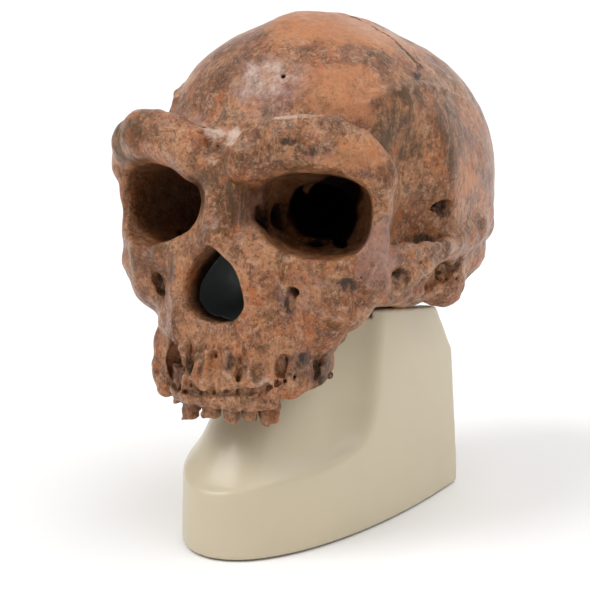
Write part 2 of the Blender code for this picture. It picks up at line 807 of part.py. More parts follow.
# Hollow underside, with a column under the rests and bosses for the screws
inner_ring = ring_points(*ring_shares[0][1:], stand_wall)
hollow_low = loft("hollow_low", [(foot_lift - overrun, inner_ring), (hollow_height, inner_ring)], cutters)
hollow_column = block("hollow_column", (-column_half_width, -column_front, 0.0),
                      (column_half_width, stand_back - 2 * stand_wall, column_height), cutters)
for cutter in (top_cut, back_cut, rest_trough, plateau_cut, hollow_low, hollow_column):
    combine(stand_shell, cutter)
plate_top = foot_lift + plate_recess + plate_thickness
boss_spots = [(x * stand_half_width, y * stand_length) for x, y in boss_shares]
for index, spot in enumerate(boss_spots):
    boss = rod("boss_%d" % (index + 1), boss_diameter / 2, plate_top + plate_clearance,
               hollow_height + stand_wall / 2, spot, cutters)
    combine(stand_shell, boss, "UNION")
plate_bottom = foot_lift + plate_recess
screw_hole_top = plate_bottom + screw_length + 2 * screw_clearance
for index, spot in enumerate(boss_spots):
    hole = rod("boss_hole_%d" % (index + 1), screw_diameter / 2 + screw_clearance, 0.0, screw_hole_top,
               spot, cutters)
    combine(stand_shell, hole)

# Locating peg, upright in the trough, inside the hole for the spinal cord
tilt_rise = math.tan(face_up_tilt)
trough_at_peg = ear_height + trough_floor / math.cos(face_up_tilt) - peg_place * tilt_rise
peg_hole = rod("peg_hole", peg_diameter / 2 + seat_gap, trough_at_peg - peg_root - seat_gap, big,
               (0.0, peg_place), cutters)
combine(stand_shell, peg_hole)
finish(stand_shell, stand_ivory)
locating_peg = rod("locating_peg", peg_diameter / 2, trough_at_peg - peg_root, trough_at_peg + peg_rise,
                   (0.0, peg_place), model)
finish(locating_peg, stand_ivory)

# Rest pads, square to the cranium's base and to the roof of its palate
pad_spots = (("rest_pad_front", 0.0, front_pad_place, plateau),
             ("rest_pad_left", rear_pad_spread, rear_pad_place, trough_floor),
             ("rest_pad_right", -rear_pad_spread, rear_pad_place, trough_floor))
for name, across, along, floor in pad_spots:
    pad = rod(name, pad_diameter / 2, floor + seat_gap, floor + seat_gap + pad_thickness,
              (across, along), model, parent=cranium_frame)
    finish(pad, pad_rubber)

# Base plate let into the underside, its screws and feet
plate_ring = ring_points(*ring_shares[0][1:], stand_wall + plate_clearance)
base_plate = loft("base_plate", [(plate_bottom, plate_ring), (plate_top, plate_ring)], model)
for index, spot in enumerate(boss_spots):
    clear_hole = rod("plate_hole_%d" % (index + 1), screw_diameter / 2 + screw_clearance, 0.0, big,
                     spot, cutters)
    seat = rod("plate_seat_%d" % (index + 1), screw_head_diameter / 2 + screw_clearance, 0.0,
               plate_bottom + screw_head_height, spot, cutters)
    combine(base_plate, clear_hole)
    combine(base_plate, seat)
finish(base_plate, plate_ivory)
for index, spot in enumerate(boss_spots):
    screw = rod("base_screw_%d" % (index + 1), screw_diameter / 2, plate_bottom, plate_bottom + screw_length,
                spot, model)
    head = rod("screw_head_%d" % (index + 1), screw_head_diameter / 2, plate_bottom,
               plate_bottom + screw_head_height - screw_clearance, spot, cutters)
    combine(screw, head, "UNION")
    finish(screw, screw_steel)
for index, (x, y) in enumerate(foot_shares):
    foot = rod("foot_pad_%d" % (index + 1), foot_diameter / 2, 0.0, plate_bottom - seat_gap,
               (x * stand_half_width, y * stand_length), model)
    finish(foot, pad_rubber)

# The model's frame is moved so that the origin lies under the middle of the whole
bpy.context.view_layer.update()
lowest = math.inf
highest = -math.inf
state = bpy.context.evaluated_depsgraph_get()
for thing in model.objects:
    if thing.type == "MESH":
        shown = thing.evaluated_get(state)
        for corner in shown.bound_box:
            along = (shown.matrix_world @ Vector(corner)).y
            lowest = min(lowest, along)
            highest = max(highest, along)
root.location.y = -(lowest + highest) / 2
bpy.context.view_layer.update()
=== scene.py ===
"""Looks of the fossil cranium on its stand: sculpted castings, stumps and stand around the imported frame."""
import math

import bpy
import numpy as np
from mathutils import Matrix, Vector


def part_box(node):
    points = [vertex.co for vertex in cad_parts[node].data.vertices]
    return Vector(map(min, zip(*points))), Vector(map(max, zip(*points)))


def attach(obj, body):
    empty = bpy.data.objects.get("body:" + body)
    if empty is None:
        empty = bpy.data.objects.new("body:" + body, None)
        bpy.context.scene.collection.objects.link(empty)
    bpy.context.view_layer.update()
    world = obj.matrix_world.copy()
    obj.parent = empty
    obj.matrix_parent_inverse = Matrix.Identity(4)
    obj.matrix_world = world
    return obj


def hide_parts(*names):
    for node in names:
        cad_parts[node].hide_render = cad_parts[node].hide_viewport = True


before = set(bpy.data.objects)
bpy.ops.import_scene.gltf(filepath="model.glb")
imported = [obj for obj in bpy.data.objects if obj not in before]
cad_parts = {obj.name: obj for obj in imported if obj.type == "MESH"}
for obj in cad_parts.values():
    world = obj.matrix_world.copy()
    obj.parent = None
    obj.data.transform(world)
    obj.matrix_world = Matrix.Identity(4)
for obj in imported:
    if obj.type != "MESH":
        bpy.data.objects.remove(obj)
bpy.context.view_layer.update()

# The cranium is shaped in its own frame: millimetres, origin midway between the ear holes,
# +X to its left, +Y to the back, +Z up. It is tipped a little face-up on the stand.
MM = 0.001
TILT = math.radians(4.785)
EAR_HEIGHT = 125.65
PEG_PLACE = 20.008
peg_low, peg_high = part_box("locating_peg")
ALONG = (peg_low.y + peg_high.y) / 2 / MM - PEG_PLACE
SKULL_STEP = 0.8
REAR_STEP = 1.05
STAND_STEP = 0.9
TOOTH_STEP = 0.42
BOWL_STEP = 0.6
FAR = 40.0


def skull_to_world(points):
    """Cranium millimetres to the shared frame's metres."""
    c, s = math.cos(TILT), math.sin(TILT)
    out = np.empty((len(points), 3))
    out[:, 0] = points[:, 0]
    out[:, 1] = c * points[:, 1] + s * points[:, 2] + ALONG
    out[:, 2] = -s * points[:, 1] + c * points[:, 2] + EAR_HEIGHT
    return out * MM


def stand_to_world(points):
    """Stand millimetres, with the origin under the ear holes, to the shared frame's metres."""
    return (points + np.array((0.0, ALONG, 0.0))) * MM


# Distance-field sculpting

def smooth_min(a, b, k):
    if k <= 0:
        return np.minimum(a, b)
    h = np.clip(0.5 + 0.5 * (b - a) / k, 0.0, 1.0)
    return b + (a - b) * h - k * h * (1.0 - h)


def smooth_max(a, b, k):
    return -smooth_min(-a, -b, k)


class Field:
    """Signed distances on a regular grid, negative inside the form."""

    def __init__(self, low, high, step):
        self.step = step
        self.low = np.array(low, float)
        count = np.ceil((np.array(high) - self.low) / step).astype(int) + 1
        self.axes = [(self.low[i] + step * np.arange(count[i])).astype(np.float32) for i in range(3)]
        self.d = np.full(count, FAR, np.float32)

    def window(self, low, high):
        out = []
        for axis, a, b in zip(self.axes, low, high):
            first = max(int(np.searchsorted(axis, a)) - 1, 0)
            last = min(int(np.searchsorted(axis, b)) + 1, len(axis))
            out.append(slice(first, last))
        return tuple(out)

    def grids(self, w=(slice(None),) * 3):
        return (self.axes[0][w[0]][:, None, None], self.axes[1][w[1]][None, :, None],
                self.axes[2][w[2]][None, None, :])

    def apply(self, shape, blend, cut, side):
        """Side 0 works on both sides alike, 1 on the left, -1 on the right, None where the shape stands."""
        function, low, high = shape
        margin = blend + 3.0
        lo, hi = np.array(low, float) - margin, np.array(high, float) + margin
        spans = []
        if side is None:
            spans.append((lo[0], hi[0]))
        elif side == 0 and lo[0] <= 0:
            spans.append((-hi[0], hi[0]))
        else:
            if side >= 0:
                spans.append((max(lo[0], -margin), hi[0]))
            if side <= 0:
                spans.append((-hi[0], min(-lo[0], margin)))
        for first, last in spans:
            w = self.window((first, lo[1], lo[2]), (last, hi[1], hi[2]))
            x, y, z = self.grids(w)
            if not x.size or not y.size or not z.size:
                continue
            if side == 0:
                x = np.abs(x)
            elif side == -1:
                x = -x
            value = function(x, y, z).astype(np.float32)
            if cut:
                self.d[w] = smooth_max(self.d[w], -value, blend)
            else:
                self.d[w] = smooth_min(self.d[w], value, blend)

    def add(self, shape, blend=0.0, side=0):
        self.apply(shape, blend, False, side)

    def cut(self, shape, blend=0.0, side=0):
        self.apply(shape, blend, True, side)

    def near(self, reach):
        """Places within reach of the surface, as grid indices and points."""
        index = np.nonzero(np.abs(self.d) < reach)
        points = np.stack([self.axes[i][index[i]] for i in range(3)], axis=1)
        return index, points


def turned(rx, ry, rz):
    return np.array(Matrix.Rotation(math.radians(rz), 3, "Z") @ Matrix.Rotation(math.radians(ry), 3, "Y")
                    @ Matrix.Rotation(math.radians(rx), 3, "X"))


def ball(centre, radii, turn=None, power=2.0):
    """An ellipsoid, or with a higher power a rounded block."""
    c, r = np.array(centre, float), np.array(radii, float)
    m = np.eye(3) if turn is None else turned(*turn).T
    reach = np.abs(m.T) @ r

    def function(x, y, z):
        px, py, pz = x - c[0], y - c[1], z - c[2]
        if turn is not None:
            px, py, pz = (m[i, 0] * px + m[i, 1] * py + m[i, 2] * pz for i in range(3))
        ax, ay, az = np.abs(px / r[0]), np.abs(py / r[1]), np.abs(pz / r[2])
        size = (ax ** power + ay ** power + az ** power) ** (1.0 / power)
        safe = np.maximum(size, 1e-4)
        order = 2 * power - 2
        steep = np.sqrt((ax / safe) ** order / r[0] ** 2 + (ay / safe) ** order / r[1] ** 2
                        + (az / safe) ** order / r[2] ** 2)
        return (size - 1.0) / np.maximum(steep, 1e-4)
    return function, c - reach, c + reach


def limb(points, radii, blend=2.0):
    """Rounded rods end to end, each end with its own radius."""
    p, r = np.array(points, float), np.array(radii, float)

    def function(x, y, z):
        out = None
        for a, b, ra, rb in zip(p[:-1], p[1:], r[:-1], r[1:]):
            ab = b - a
            t = ((x - a[0]) * ab[0] + (y - a[1]) * ab[1] + (z - a[2]) * ab[2]) / (ab @ ab)
            t = np.clip(t, 0, 1)
            away = np.sqrt((x - a[0] - t * ab[0]) ** 2 + (y - a[1] - t * ab[1]) ** 2
                           + (z - a[2] - t * ab[2]) ** 2)
            value = away - (ra + (rb - ra) * t)
            out = value if out is None else smooth_min(out, value, blend)
        return out
    return function, (p - r[:, None]).min(0), (p + r[:, None]).max(0)


lattice = np.random.default_rng(11).random((32, 32, 32)).astype(np.float32) * 2 - 1


def noise(points, size, shift=0.0):
    """Smooth noise from -1 to 1, whose bumps are about size across."""
    q = points / size + shift
    base = np.floor(q).astype(np.int32)
    t = (q - base).astype(np.float32)
    t = t * t * (3 - 2 * t)
    out = np.zeros(len(points), np.float32)
    for i in (0, 1):
        for j in (0, 1):
            for k in (0, 1):
                w = (t[:, 0] if i else 1 - t[:, 0]) * (t[:, 1] if j else 1 - t[:, 1])
                w = w * (t[:, 2] if k else 1 - t[:, 2])
                out += w * lattice[(base[:, 0] + i) & 31, (base[:, 1] + j) & 31, (base[:, 2] + k) & 31]
    return out


def ramp(value, low, high):
    t = np.clip((value - low) / (high - low), 0.0, 1.0)
    return t * t * (3 - 2 * t)


def within(points, centre, radii, soft=0.5):
    """1 inside an ellipsoid, fading to 0 outside it."""
    q = (points - np.array(centre)) / np.array(radii)
    return 1.0 - ramp(np.sqrt((q ** 2).sum(1)), 1.0 - soft, 1.0 + soft)


def surface_nets(field):
    """The form's surface as a mesh of quads, one corner in each grid cell that it crosses."""
    d, step = field.d, field.step
    inside = d < 0
    nx, ny, nz = d.shape
    total = np.zeros((nx - 1, ny - 1, nz - 1), np.int8)
    corners = [(i, j, k) for k in (0, 1) for j in (0, 1) for i in (0, 1)]
    for i, j, k in corners:
        total += inside[i:nx - 1 + i, j:ny - 1 + j, k:nz - 1 + k]
    active = (total > 0) & (total < 8)
    number = np.full(active.shape, -1, np.int64)
    cells = np.argwhere(active)
    number[active] = np.arange(len(cells))
    sums = np.zeros((len(cells), 3))
    count = np.zeros(len(cells))
    values = [d[cells[:, 0] + i, cells[:, 1] + j, cells[:, 2] + k].astype(float) for i, j, k in corners]
    for a in range(8):
        for b in range(a + 1, 8):
            pa, pb = np.array(corners[a], float), np.array(corners[b], float)
            if np.abs(pa - pb).sum() != 1:
                continue
            crossed = (values[a] < 0) != (values[b] < 0)
            t = values[a][crossed] / (values[a][crossed] - values[b][crossed])
            sums[crossed] += pa + t[:, None] * (pb - pa)
            count[crossed] += 1
    verts = field.low + step * (cells + sums / count[:, None])
    quads = []
    for axis in range(3):
        u, v = ((1, 2), (2, 0), (0, 1))[axis]
        before = [slice(None)] * 3
        after = [slice(None)] * 3
        before[axis] = slice(0, -1)
        after[axis] = slice(1, None)
        first, second = inside[tuple(before)], inside[tuple(after)]
        edges = np.argwhere(first != second)
        keep = (edges[:, u] > 0) & (edges[:, v] > 0)
        keep &= (edges[:, u] < d.shape[u] - 1) & (edges[:, v] < d.shape[v] - 1)
        edges = edges[keep]
        forward = first[edges[:, 0], edges[:, 1], edges[:, 2]]
        quad = []
        for du, dv in ((0, 0), (-1, 0), (-1, -1), (0, -1)):
            at = edges.copy()
            at[:, u] += du
            at[:, v] += dv
            quad.append(number[at[:, 0], at[:, 1], at[:, 2]])
        quad = np.stack(quad, 1)
        quad[~forward] = quad[~forward][:, ::-1]
        quads.append(quad)
    return verts, np.concatenate(quads)


def largest_body(verts, quads):
    """Keeps the connected body with the most corners."""
    label = np.arange(len(verts))
    while True:
        lowest = label[quads].min(1)
        new = label.copy()
        np.minimum.at(new, quads.ravel(), np.repeat(lowest, 4))
        new = new[new]
        if (new == label).all():
            break
        label = new
    biggest = np.bincount(label).argmax()
    keep = label == biggest
    remap = np.cumsum(keep) - 1
    return verts[keep], remap[quads[keep[quads[:, 0]]]]


def placed(name, data):
    """A new object of this data, in the scene."""
    made = bpy.data.objects.new(name, data)
    bpy.context.scene.collection.objects.link(made)
    return made


def new_mesh(name, verts, faces, to_world):
    """A smooth-shaded mesh object from corners in millimetres."""
    mesh = bpy.data.meshes.new(name)
    mesh.from_pydata(to_world(np.asarray(verts, float)).tolist(), [], np.asarray(faces).tolist())
    mesh.validate()
    mesh.shade_smooth()
    return placed(name, mesh)


def meshed(name, field, to_world):
    """The largest body of a form, as a mesh object."""
    return new_mesh(name, *largest_body(*surface_nets(field)), to_world)


def thinned(made, most):
    """Collapses a dense mesh to about a number of triangles, keeping its detail."""
    triangles = 2 * len(made.data.polygons)
    if triangles > most:
        change = made.modifiers.new("thin", "DECIMATE")
        change.ratio = most / triangles
        change.use_collapse_triangulate = True
        state = bpy.context.evaluated_depsgraph_get()
        mesh = bpy.data.meshes.new_from_object(made.evaluated_get(state))
        made.modifiers.clear()
        old = made.data
        made.data = mesh
        bpy.data.meshes.remove(old)
        made.data.shade_smooth()
    return made


def positions(made):
    out = np.empty(len(made.data.vertices) * 3)
    made.data.vertices.foreach_get("co", out)
    return out.reshape(-1, 3)


def normals(made):
    out = np.empty(len(made.data.vertices) * 3)
    made.data.vertices.foreach_get("normal", out)
    return out.reshape(-1, 3)


def world_to_skull(points):
    c, s = math.cos(TILT), math.sin(TILT)
    p = points / MM
    y, z = p[:, 1] - ALONG, p[:, 2] - EAR_HEIGHT
    return np.stack([p[:, 0], c * y - s * z, s * y + c * z], axis=1)


def set_mask(made, name, values):
    layer = made.data.attributes.new(name, "FLOAT", "POINT")
    layer.data.foreach_set("value", np.clip(values, 0.0, 1.0).astype(np.float32))


def relief(made, rounds):
    """How far each corner stands out of the smoothed surface around it, in millimetres."""
    edges = np.empty(len(made.data.edges) * 2, np.int64)
    made.data.edges.foreach_get("vertices", edges)
    a, b = edges.reshape(-1, 2).T
    start = positions(made) / MM
    count = np.bincount(a, minlength=len(start)) + np.bincount(b, minlength=len(start))
    now = start
    for _ in range(rounds):
        total = np.stack([np.bincount(a, now[b, i], len(start)) + np.bincount(b, now[a, i], len(start))
                          for i in range(3)], axis=1)
        now = 0.5 * now + 0.5 * total / np.maximum(count, 1)[:, None]
    return ((start - now) * normals(made)).sum(1)


def smooth_interp(value, xs, ys):
    """A smooth curve through a few places, without overshoot."""
    xs, ys = np.array(xs, float), np.array(ys, float)
    slope = np.diff(ys) / np.diff(xs)
    between = 2 * slope[:-1] * slope[1:] / (slope[:-1] + slope[1:] + 1e-12)
    between = np.where(slope[:-1] * slope[1:] > 0, between, 0.0)
    tangent = np.concatenate([[slope[0]], between, [slope[-1]]])
    i = np.clip(np.searchsorted(xs, value) - 1, 0, len(xs) - 2)
    h = xs[i + 1] - xs[i]
    t = np.clip((value - xs[i]) / h, 0, 1)
    return ((2 * t ** 3 - 3 * t ** 2 + 1) * ys[i] + (t ** 3 - 2 * t ** 2 + t) * h * tangent[i]
            + (3 * t ** 2 - 2 * t ** 3) * ys[i + 1] + (t ** 3 - t ** 2) * h * tangent[i + 1])


# The cranium's form

DENTAL_PLACE = -52.0
DENTAL_HALF_WIDTH = 33.5
DENTAL_REACH = 46.0
DENTAL_POWER = 2.3


def dental_arch(angle, outward=0.0):
    """A place on the dental arch, by its angle from the front towards the left, in degrees."""
    s, c = math.sin(math.radians(angle)), math.cos(math.radians(angle))
    size = (abs(s) ** DENTAL_POWER + abs(c) ** DENTAL_POWER) ** (-1 / DENTAL_POWER)
    x, y = DENTAL_HALF_WIDTH * size * s, DENTAL_PLACE - DENTAL_REACH * size * c
    length = math.hypot(x, y - DENTAL_PLACE)
    return x + outward * x / length, y + outward * (y - DENTAL_PLACE) / length


ORBIT_ORIGIN = np.array((37.0, -84.2, 16.9))
ORBIT_AXIS = np.array((-0.38, 0.925, -0.02))
ORBIT_AXIS /= np.linalg.norm(ORBIT_AXIS)
ORBIT_HALF_WIDTH, ORBIT_HALF_HEIGHT, ORBIT_DEPTH, ORBIT_POWER = 24.1, 16.2, 47.0, 2.9


def orbit(grow=0.0, nearer=0.0):
    """A rounded funnel running back and inwards from the rim, wider at its outer lower side."""
    origin, axis = ORBIT_ORIGIN - np.array((nearer, 0, 0)), ORBIT_AXIS
    across = np.cross(axis, (0, 0, 1.0))
    across /= np.linalg.norm(across)
    if across[0] < 0:
        across = -across
    upward = np.array((0, 0, 1.0)) - axis[2] * axis
    upward /= np.linalg.norm(upward)
    half_width = ORBIT_HALF_WIDTH + grow + nearer
    half_height, depth = ORBIT_HALF_HEIGHT + grow, ORBIT_DEPTH + grow

    def function(x, y, z):
        px, py, pz = x - origin[0], y - origin[1], z - origin[2]
        t = px * axis[0] + py * axis[1] + pz * axis[2]
        p = px * across[0] + py * across[1] + pz * across[2]
        q = px * upward[0] + py * upward[1] + pz * upward[2]
        narrowing = np.clip(1.0 - (np.maximum(t, 0) / depth) ** 1.55, 0.0, None) * 0.97 + 0.03
        narrowing = narrowing + np.clip(-t, 0, None) * 0.004
        # The lower edge hangs more than the upper one rises, and slants up towards the nose
        q = np.where(q < 0, q * (0.90 + 0.22 * np.clip(-p / 22, 0, 1)), q)
        p, q = np.abs(p / (half_width * narrowing)), np.abs(q / (half_height * narrowing))
        r = (p ** ORBIT_POWER + q ** ORBIT_POWER) ** (1 / ORBIT_POWER)
        side = (r - 1.0) * half_height * narrowing
        return np.maximum(side, t - depth)
    return function, (0, -130, -12 - grow), (74 + grow, -30, 50 + grow)


NOSE_TOP, NOSE_LOW, NOSE_FRONT, NOSE_BACK = 2.2, -31.2, -135, -62
NOSE_HEIGHTS = (-32.0, -31.2, -29.6, -26.5, -22.5, -17.5, -12.5, -8.5, -5.0, -2.0, 0.6, 2.2, 3.0)
NOSE_WIDTHS = (0.0, 1.0, 8.2, 12.2, 14.4, 15.0, 13.5, 11.4, 8.6, 5.6, 2.6, 0.6, 0.0)


def nose(x, y, z):
    """Pear-shaped opening, as a prism along Y."""
    side = (np.abs(x) - smooth_interp(z, NOSE_HEIGHTS, NOSE_WIDTHS)) * 0.8
    caps = np.maximum(z - NOSE_TOP, NOSE_LOW - z)
    return np.maximum(np.maximum(side, caps), np.maximum(NOSE_FRONT - y, y - NOSE_BACK))


BASE_LEVEL = -28.6
NAPE_START = 42.0
NAPE_RISE = 0.42
BASE_FRONT = -46.0


def base_plane(x, y, z):
    level = np.where(y > NAPE_START, BASE_LEVEL + (y - NAPE_START) * NAPE_RISE,
                     np.where(y < BASE_FRONT, BASE_LEVEL - (BASE_FRONT - y) * 2.0, BASE_LEVEL))
    return (z - level) * 0.93 + 0 * x


def braincase_masses(drawn_in=0.0):
    """The vault's masses and how softly each blends into those before it."""
    g = drawn_in
    return ((ball((0, 4.6, 27.2), (71 - g, 88.4 - g, 74.2 - g), power=2.2), 0.0),
            (ball((0, -30.4, 29.8), (66.7 - g, 55 - g, 68.8 - g), power=2.1), 16.0),
            (ball((0, 60, 30), (50.3 - g, 46.6 - g, 47 - g)), 14.0),
            (ball((0, 0, 68), (21.9 - 0.6 * g, 67.1 - g, 39.2 - g)), 14.0))


def sculpt(low, high, step):
    f = Field(low, high, step)
    for mass, blend in braincase_masses():
        f.add(mass, blend)
    # Hollows of the temples, then the flat base and the rising nape
    f.cut(ball((72, -46, 0), (21, 30, 36)), 7)
    f.cut(ball((87, -52, 40), (31, 26, 29)), 10)
    f.cut((base_plane, (-80, -46, -80), (80, 114, 10)), 9)
    # Occipital torus and the nape's crest and line
    f.add(limb([(0, 98, 8), (24, 91, 9), (44, 74, 8), (56, 54, 9)], [8, 8, 6.5, 4]), 9)
    f.add(limb([(0, 48, -24), (0, 76, -12), (0, 96, 4)], [3, 3, 3]), 6)
    f.add(limb([(3, 64, -17), (22, 60, -17), (38, 48, -18)], [3, 3.4, 3]), 6)
    # Crest above the ear and the mastoid process
    f.add(limb([(63, -6, 3), (65, 6, 6), (66, 20, 9.5), (62, 36, 15), (54, 56, 24)],
               [5, 5.6, 5.2, 4.6, 3], 4), 6)
    f.add(ball((55, 10.5, -14.5), (9.5, 11.5, 13.5), (12, -10, 0)), 6)
    f.add(ball((57, 32, -4), (8, 11, 8)), 7)
    # Face masses behind the brow and between the orbits
    f.add(ball((0, -74, 34), (57, 22, 20)), 8)
    f.add(ball((33, -61, 19), (24, 28, 27)), 8)
    f.add(ball((55, -67, 18), (8, 12, 22)), 6)
    f.add(ball((31, -52, 0), (19, 24, 26)), 8)
    f.add(ball((0, -56, -2), (28, 32, 26)), 8)
    f.add(ball((0, -72, -16), (43, 27, 26), power=2.4), 8)
    # Brow
    f.add(limb([(0, -94, 35), (13, -95.5, 38), (28, -94, 44), (44, -90.5, 46), (55.5, -84, 41.5),
                (63, -77.5, 33.5)], [9.5, 10.2, 10.2, 9.7, 8.8, 6.8], 5), 6)
    f.add(limb([(13, -98, 46), (24, -98, 50), (36, -95.5, 52.5), (48, -92, 51.5), (58, -86, 46.5),
                (64.5, -79.5, 39)], [2.8, 3.6, 4.0, 4.0, 3.9, 3.6], 3), 4)
    f.add(ball((64.2, -79.0, 34.0), (5.2, 5.4, 7.2)), 3)
    # The brow dips in the middle, in front of a trough that climbs to the forehead
    f.cut(limb([(0, -112, 44), (0, -99, 47.4), (0, -92.5, 52.5)], [9.5, 8.4, 5.4]), 3.5)
    # Outer rim of the orbit, cheek and its arch
    f.add(limb([(63.2, -77, 30), (62.4, -75.2, 20), (60.6, -74, 6), (58, -72, -10), (49, -73, -22),
                (38, -71, -33)], [5.6, 4.6, 5.4, 8.2, 8.6, 6.6], 4), 4)
    f.add(ball((43, -80, -13), (15, 10, 15), (0, 0, 20)), 6)
    f.add(limb([(60.5, -67, -2), (66.6, -56, 1.0), (69.6, -42, 2.0), (70.8, -27, 3.0), (67.6, -7, 4.8),
                (62, 10, 7)], [6.0, 4.2, 3.2, 3.1, 4.4, 6], 4), 3)
    f.add(limb([(61, -64, -15), (68, -54, -8.2), (70, -43, -4.6), (70.8, -29, -0.4), (69, -16, 2.6)],
               [5.6, 3.8, 3.0, 2.4, 2.4], 4), 3)
    f.cut(limb([(55, -42, 4.6), (60, -31, 6.6), (65.5, -19.5, 7.8)], [1.8, 2.8, 1.2]), 1.2)
    f.add(limb([(13, -91.5, 6), (22, -91.5, -1), (34, -90, -5.5), (47, -85, -5), (57, -77, 2)],
               [5.2, 6.4, 6.4, 6.4, 6.0], 4), 5)
    # Nose bridge and the walls beside the nasal opening
    f.add(limb([(0, -91, 33), (0, -94, 22), (0, -98.5, 11), (0, -101.4, 4.5)], [9, 7.6, 6.4, 5.4], 4), 6)
    f.add(limb([(8.5, -90, 27), (7.6, -92.6, 14), (10.5, -95, 2), (16, -95.2, -8), (19, -94.6, -18),
                (18.5, -91.5, -27)], [5.2, 4.2, 5.6, 6.4, 6.4, 6.4], 4), 4)
    f.add(limb([(2.5, -101.2, 4), (6.6, -99.2, -0.6), (11.5, -97.4, -6), (16, -96.6, -14)],
               [4.4, 4.4, 4.6, 5.4], 3), 3)
    # Upper jaw above the teeth
    f.add(limb([(0, -91, -38), (16, -90, -36), (27, -82, -34), (32, -71, -34), (33, -60, -34)],
               [10.5, 10.5, 10.5, 9.6, 8.6], 5), 7)
    f.add(limb([(0, -93, -53), (14, -90.5, -53), (25, -82, -52), (28.8, -71, -51), (29.6, -60, -49.5)],
               [10.6, 10.2, 9.0, 7.8, 6.8], 5), 6)
    return f


SUTURE = ((14.0, -13.5, 104.3), (22.4, -10.6, 100.3), (29.6, -13.9, 97.2), (42, -20.0, 90.4),
          (48.2, -20.6, 85.6), (51.8, -20.0, 82.2), (54.6, -25.5, 79.0), (56.4, -33.0, 75.0))
SUTURE_STEP = 1.9


def suture(radius, blend):
    """The coronal suture where it shows as a dark zigzag, a little ahead of the seam of the castings."""
    path = []
    for a, b in zip(SUTURE[:-1], SUTURE[1:]):
        a, b = np.array(a), np.array(b)
        steps = max(int(np.linalg.norm(b - a) / SUTURE_STEP), 2)
        for i in range(steps):
            sway = (0.9 if len(path) % 2 else -0.9) * (0.7 + 0.5 * math.sin(1.7 * len(path)))
            path.append(a + (b - a) * i / steps + np.array((0.25 * sway, sway, 0.0)))
    return limb(path, [radius] * len(path), blend)


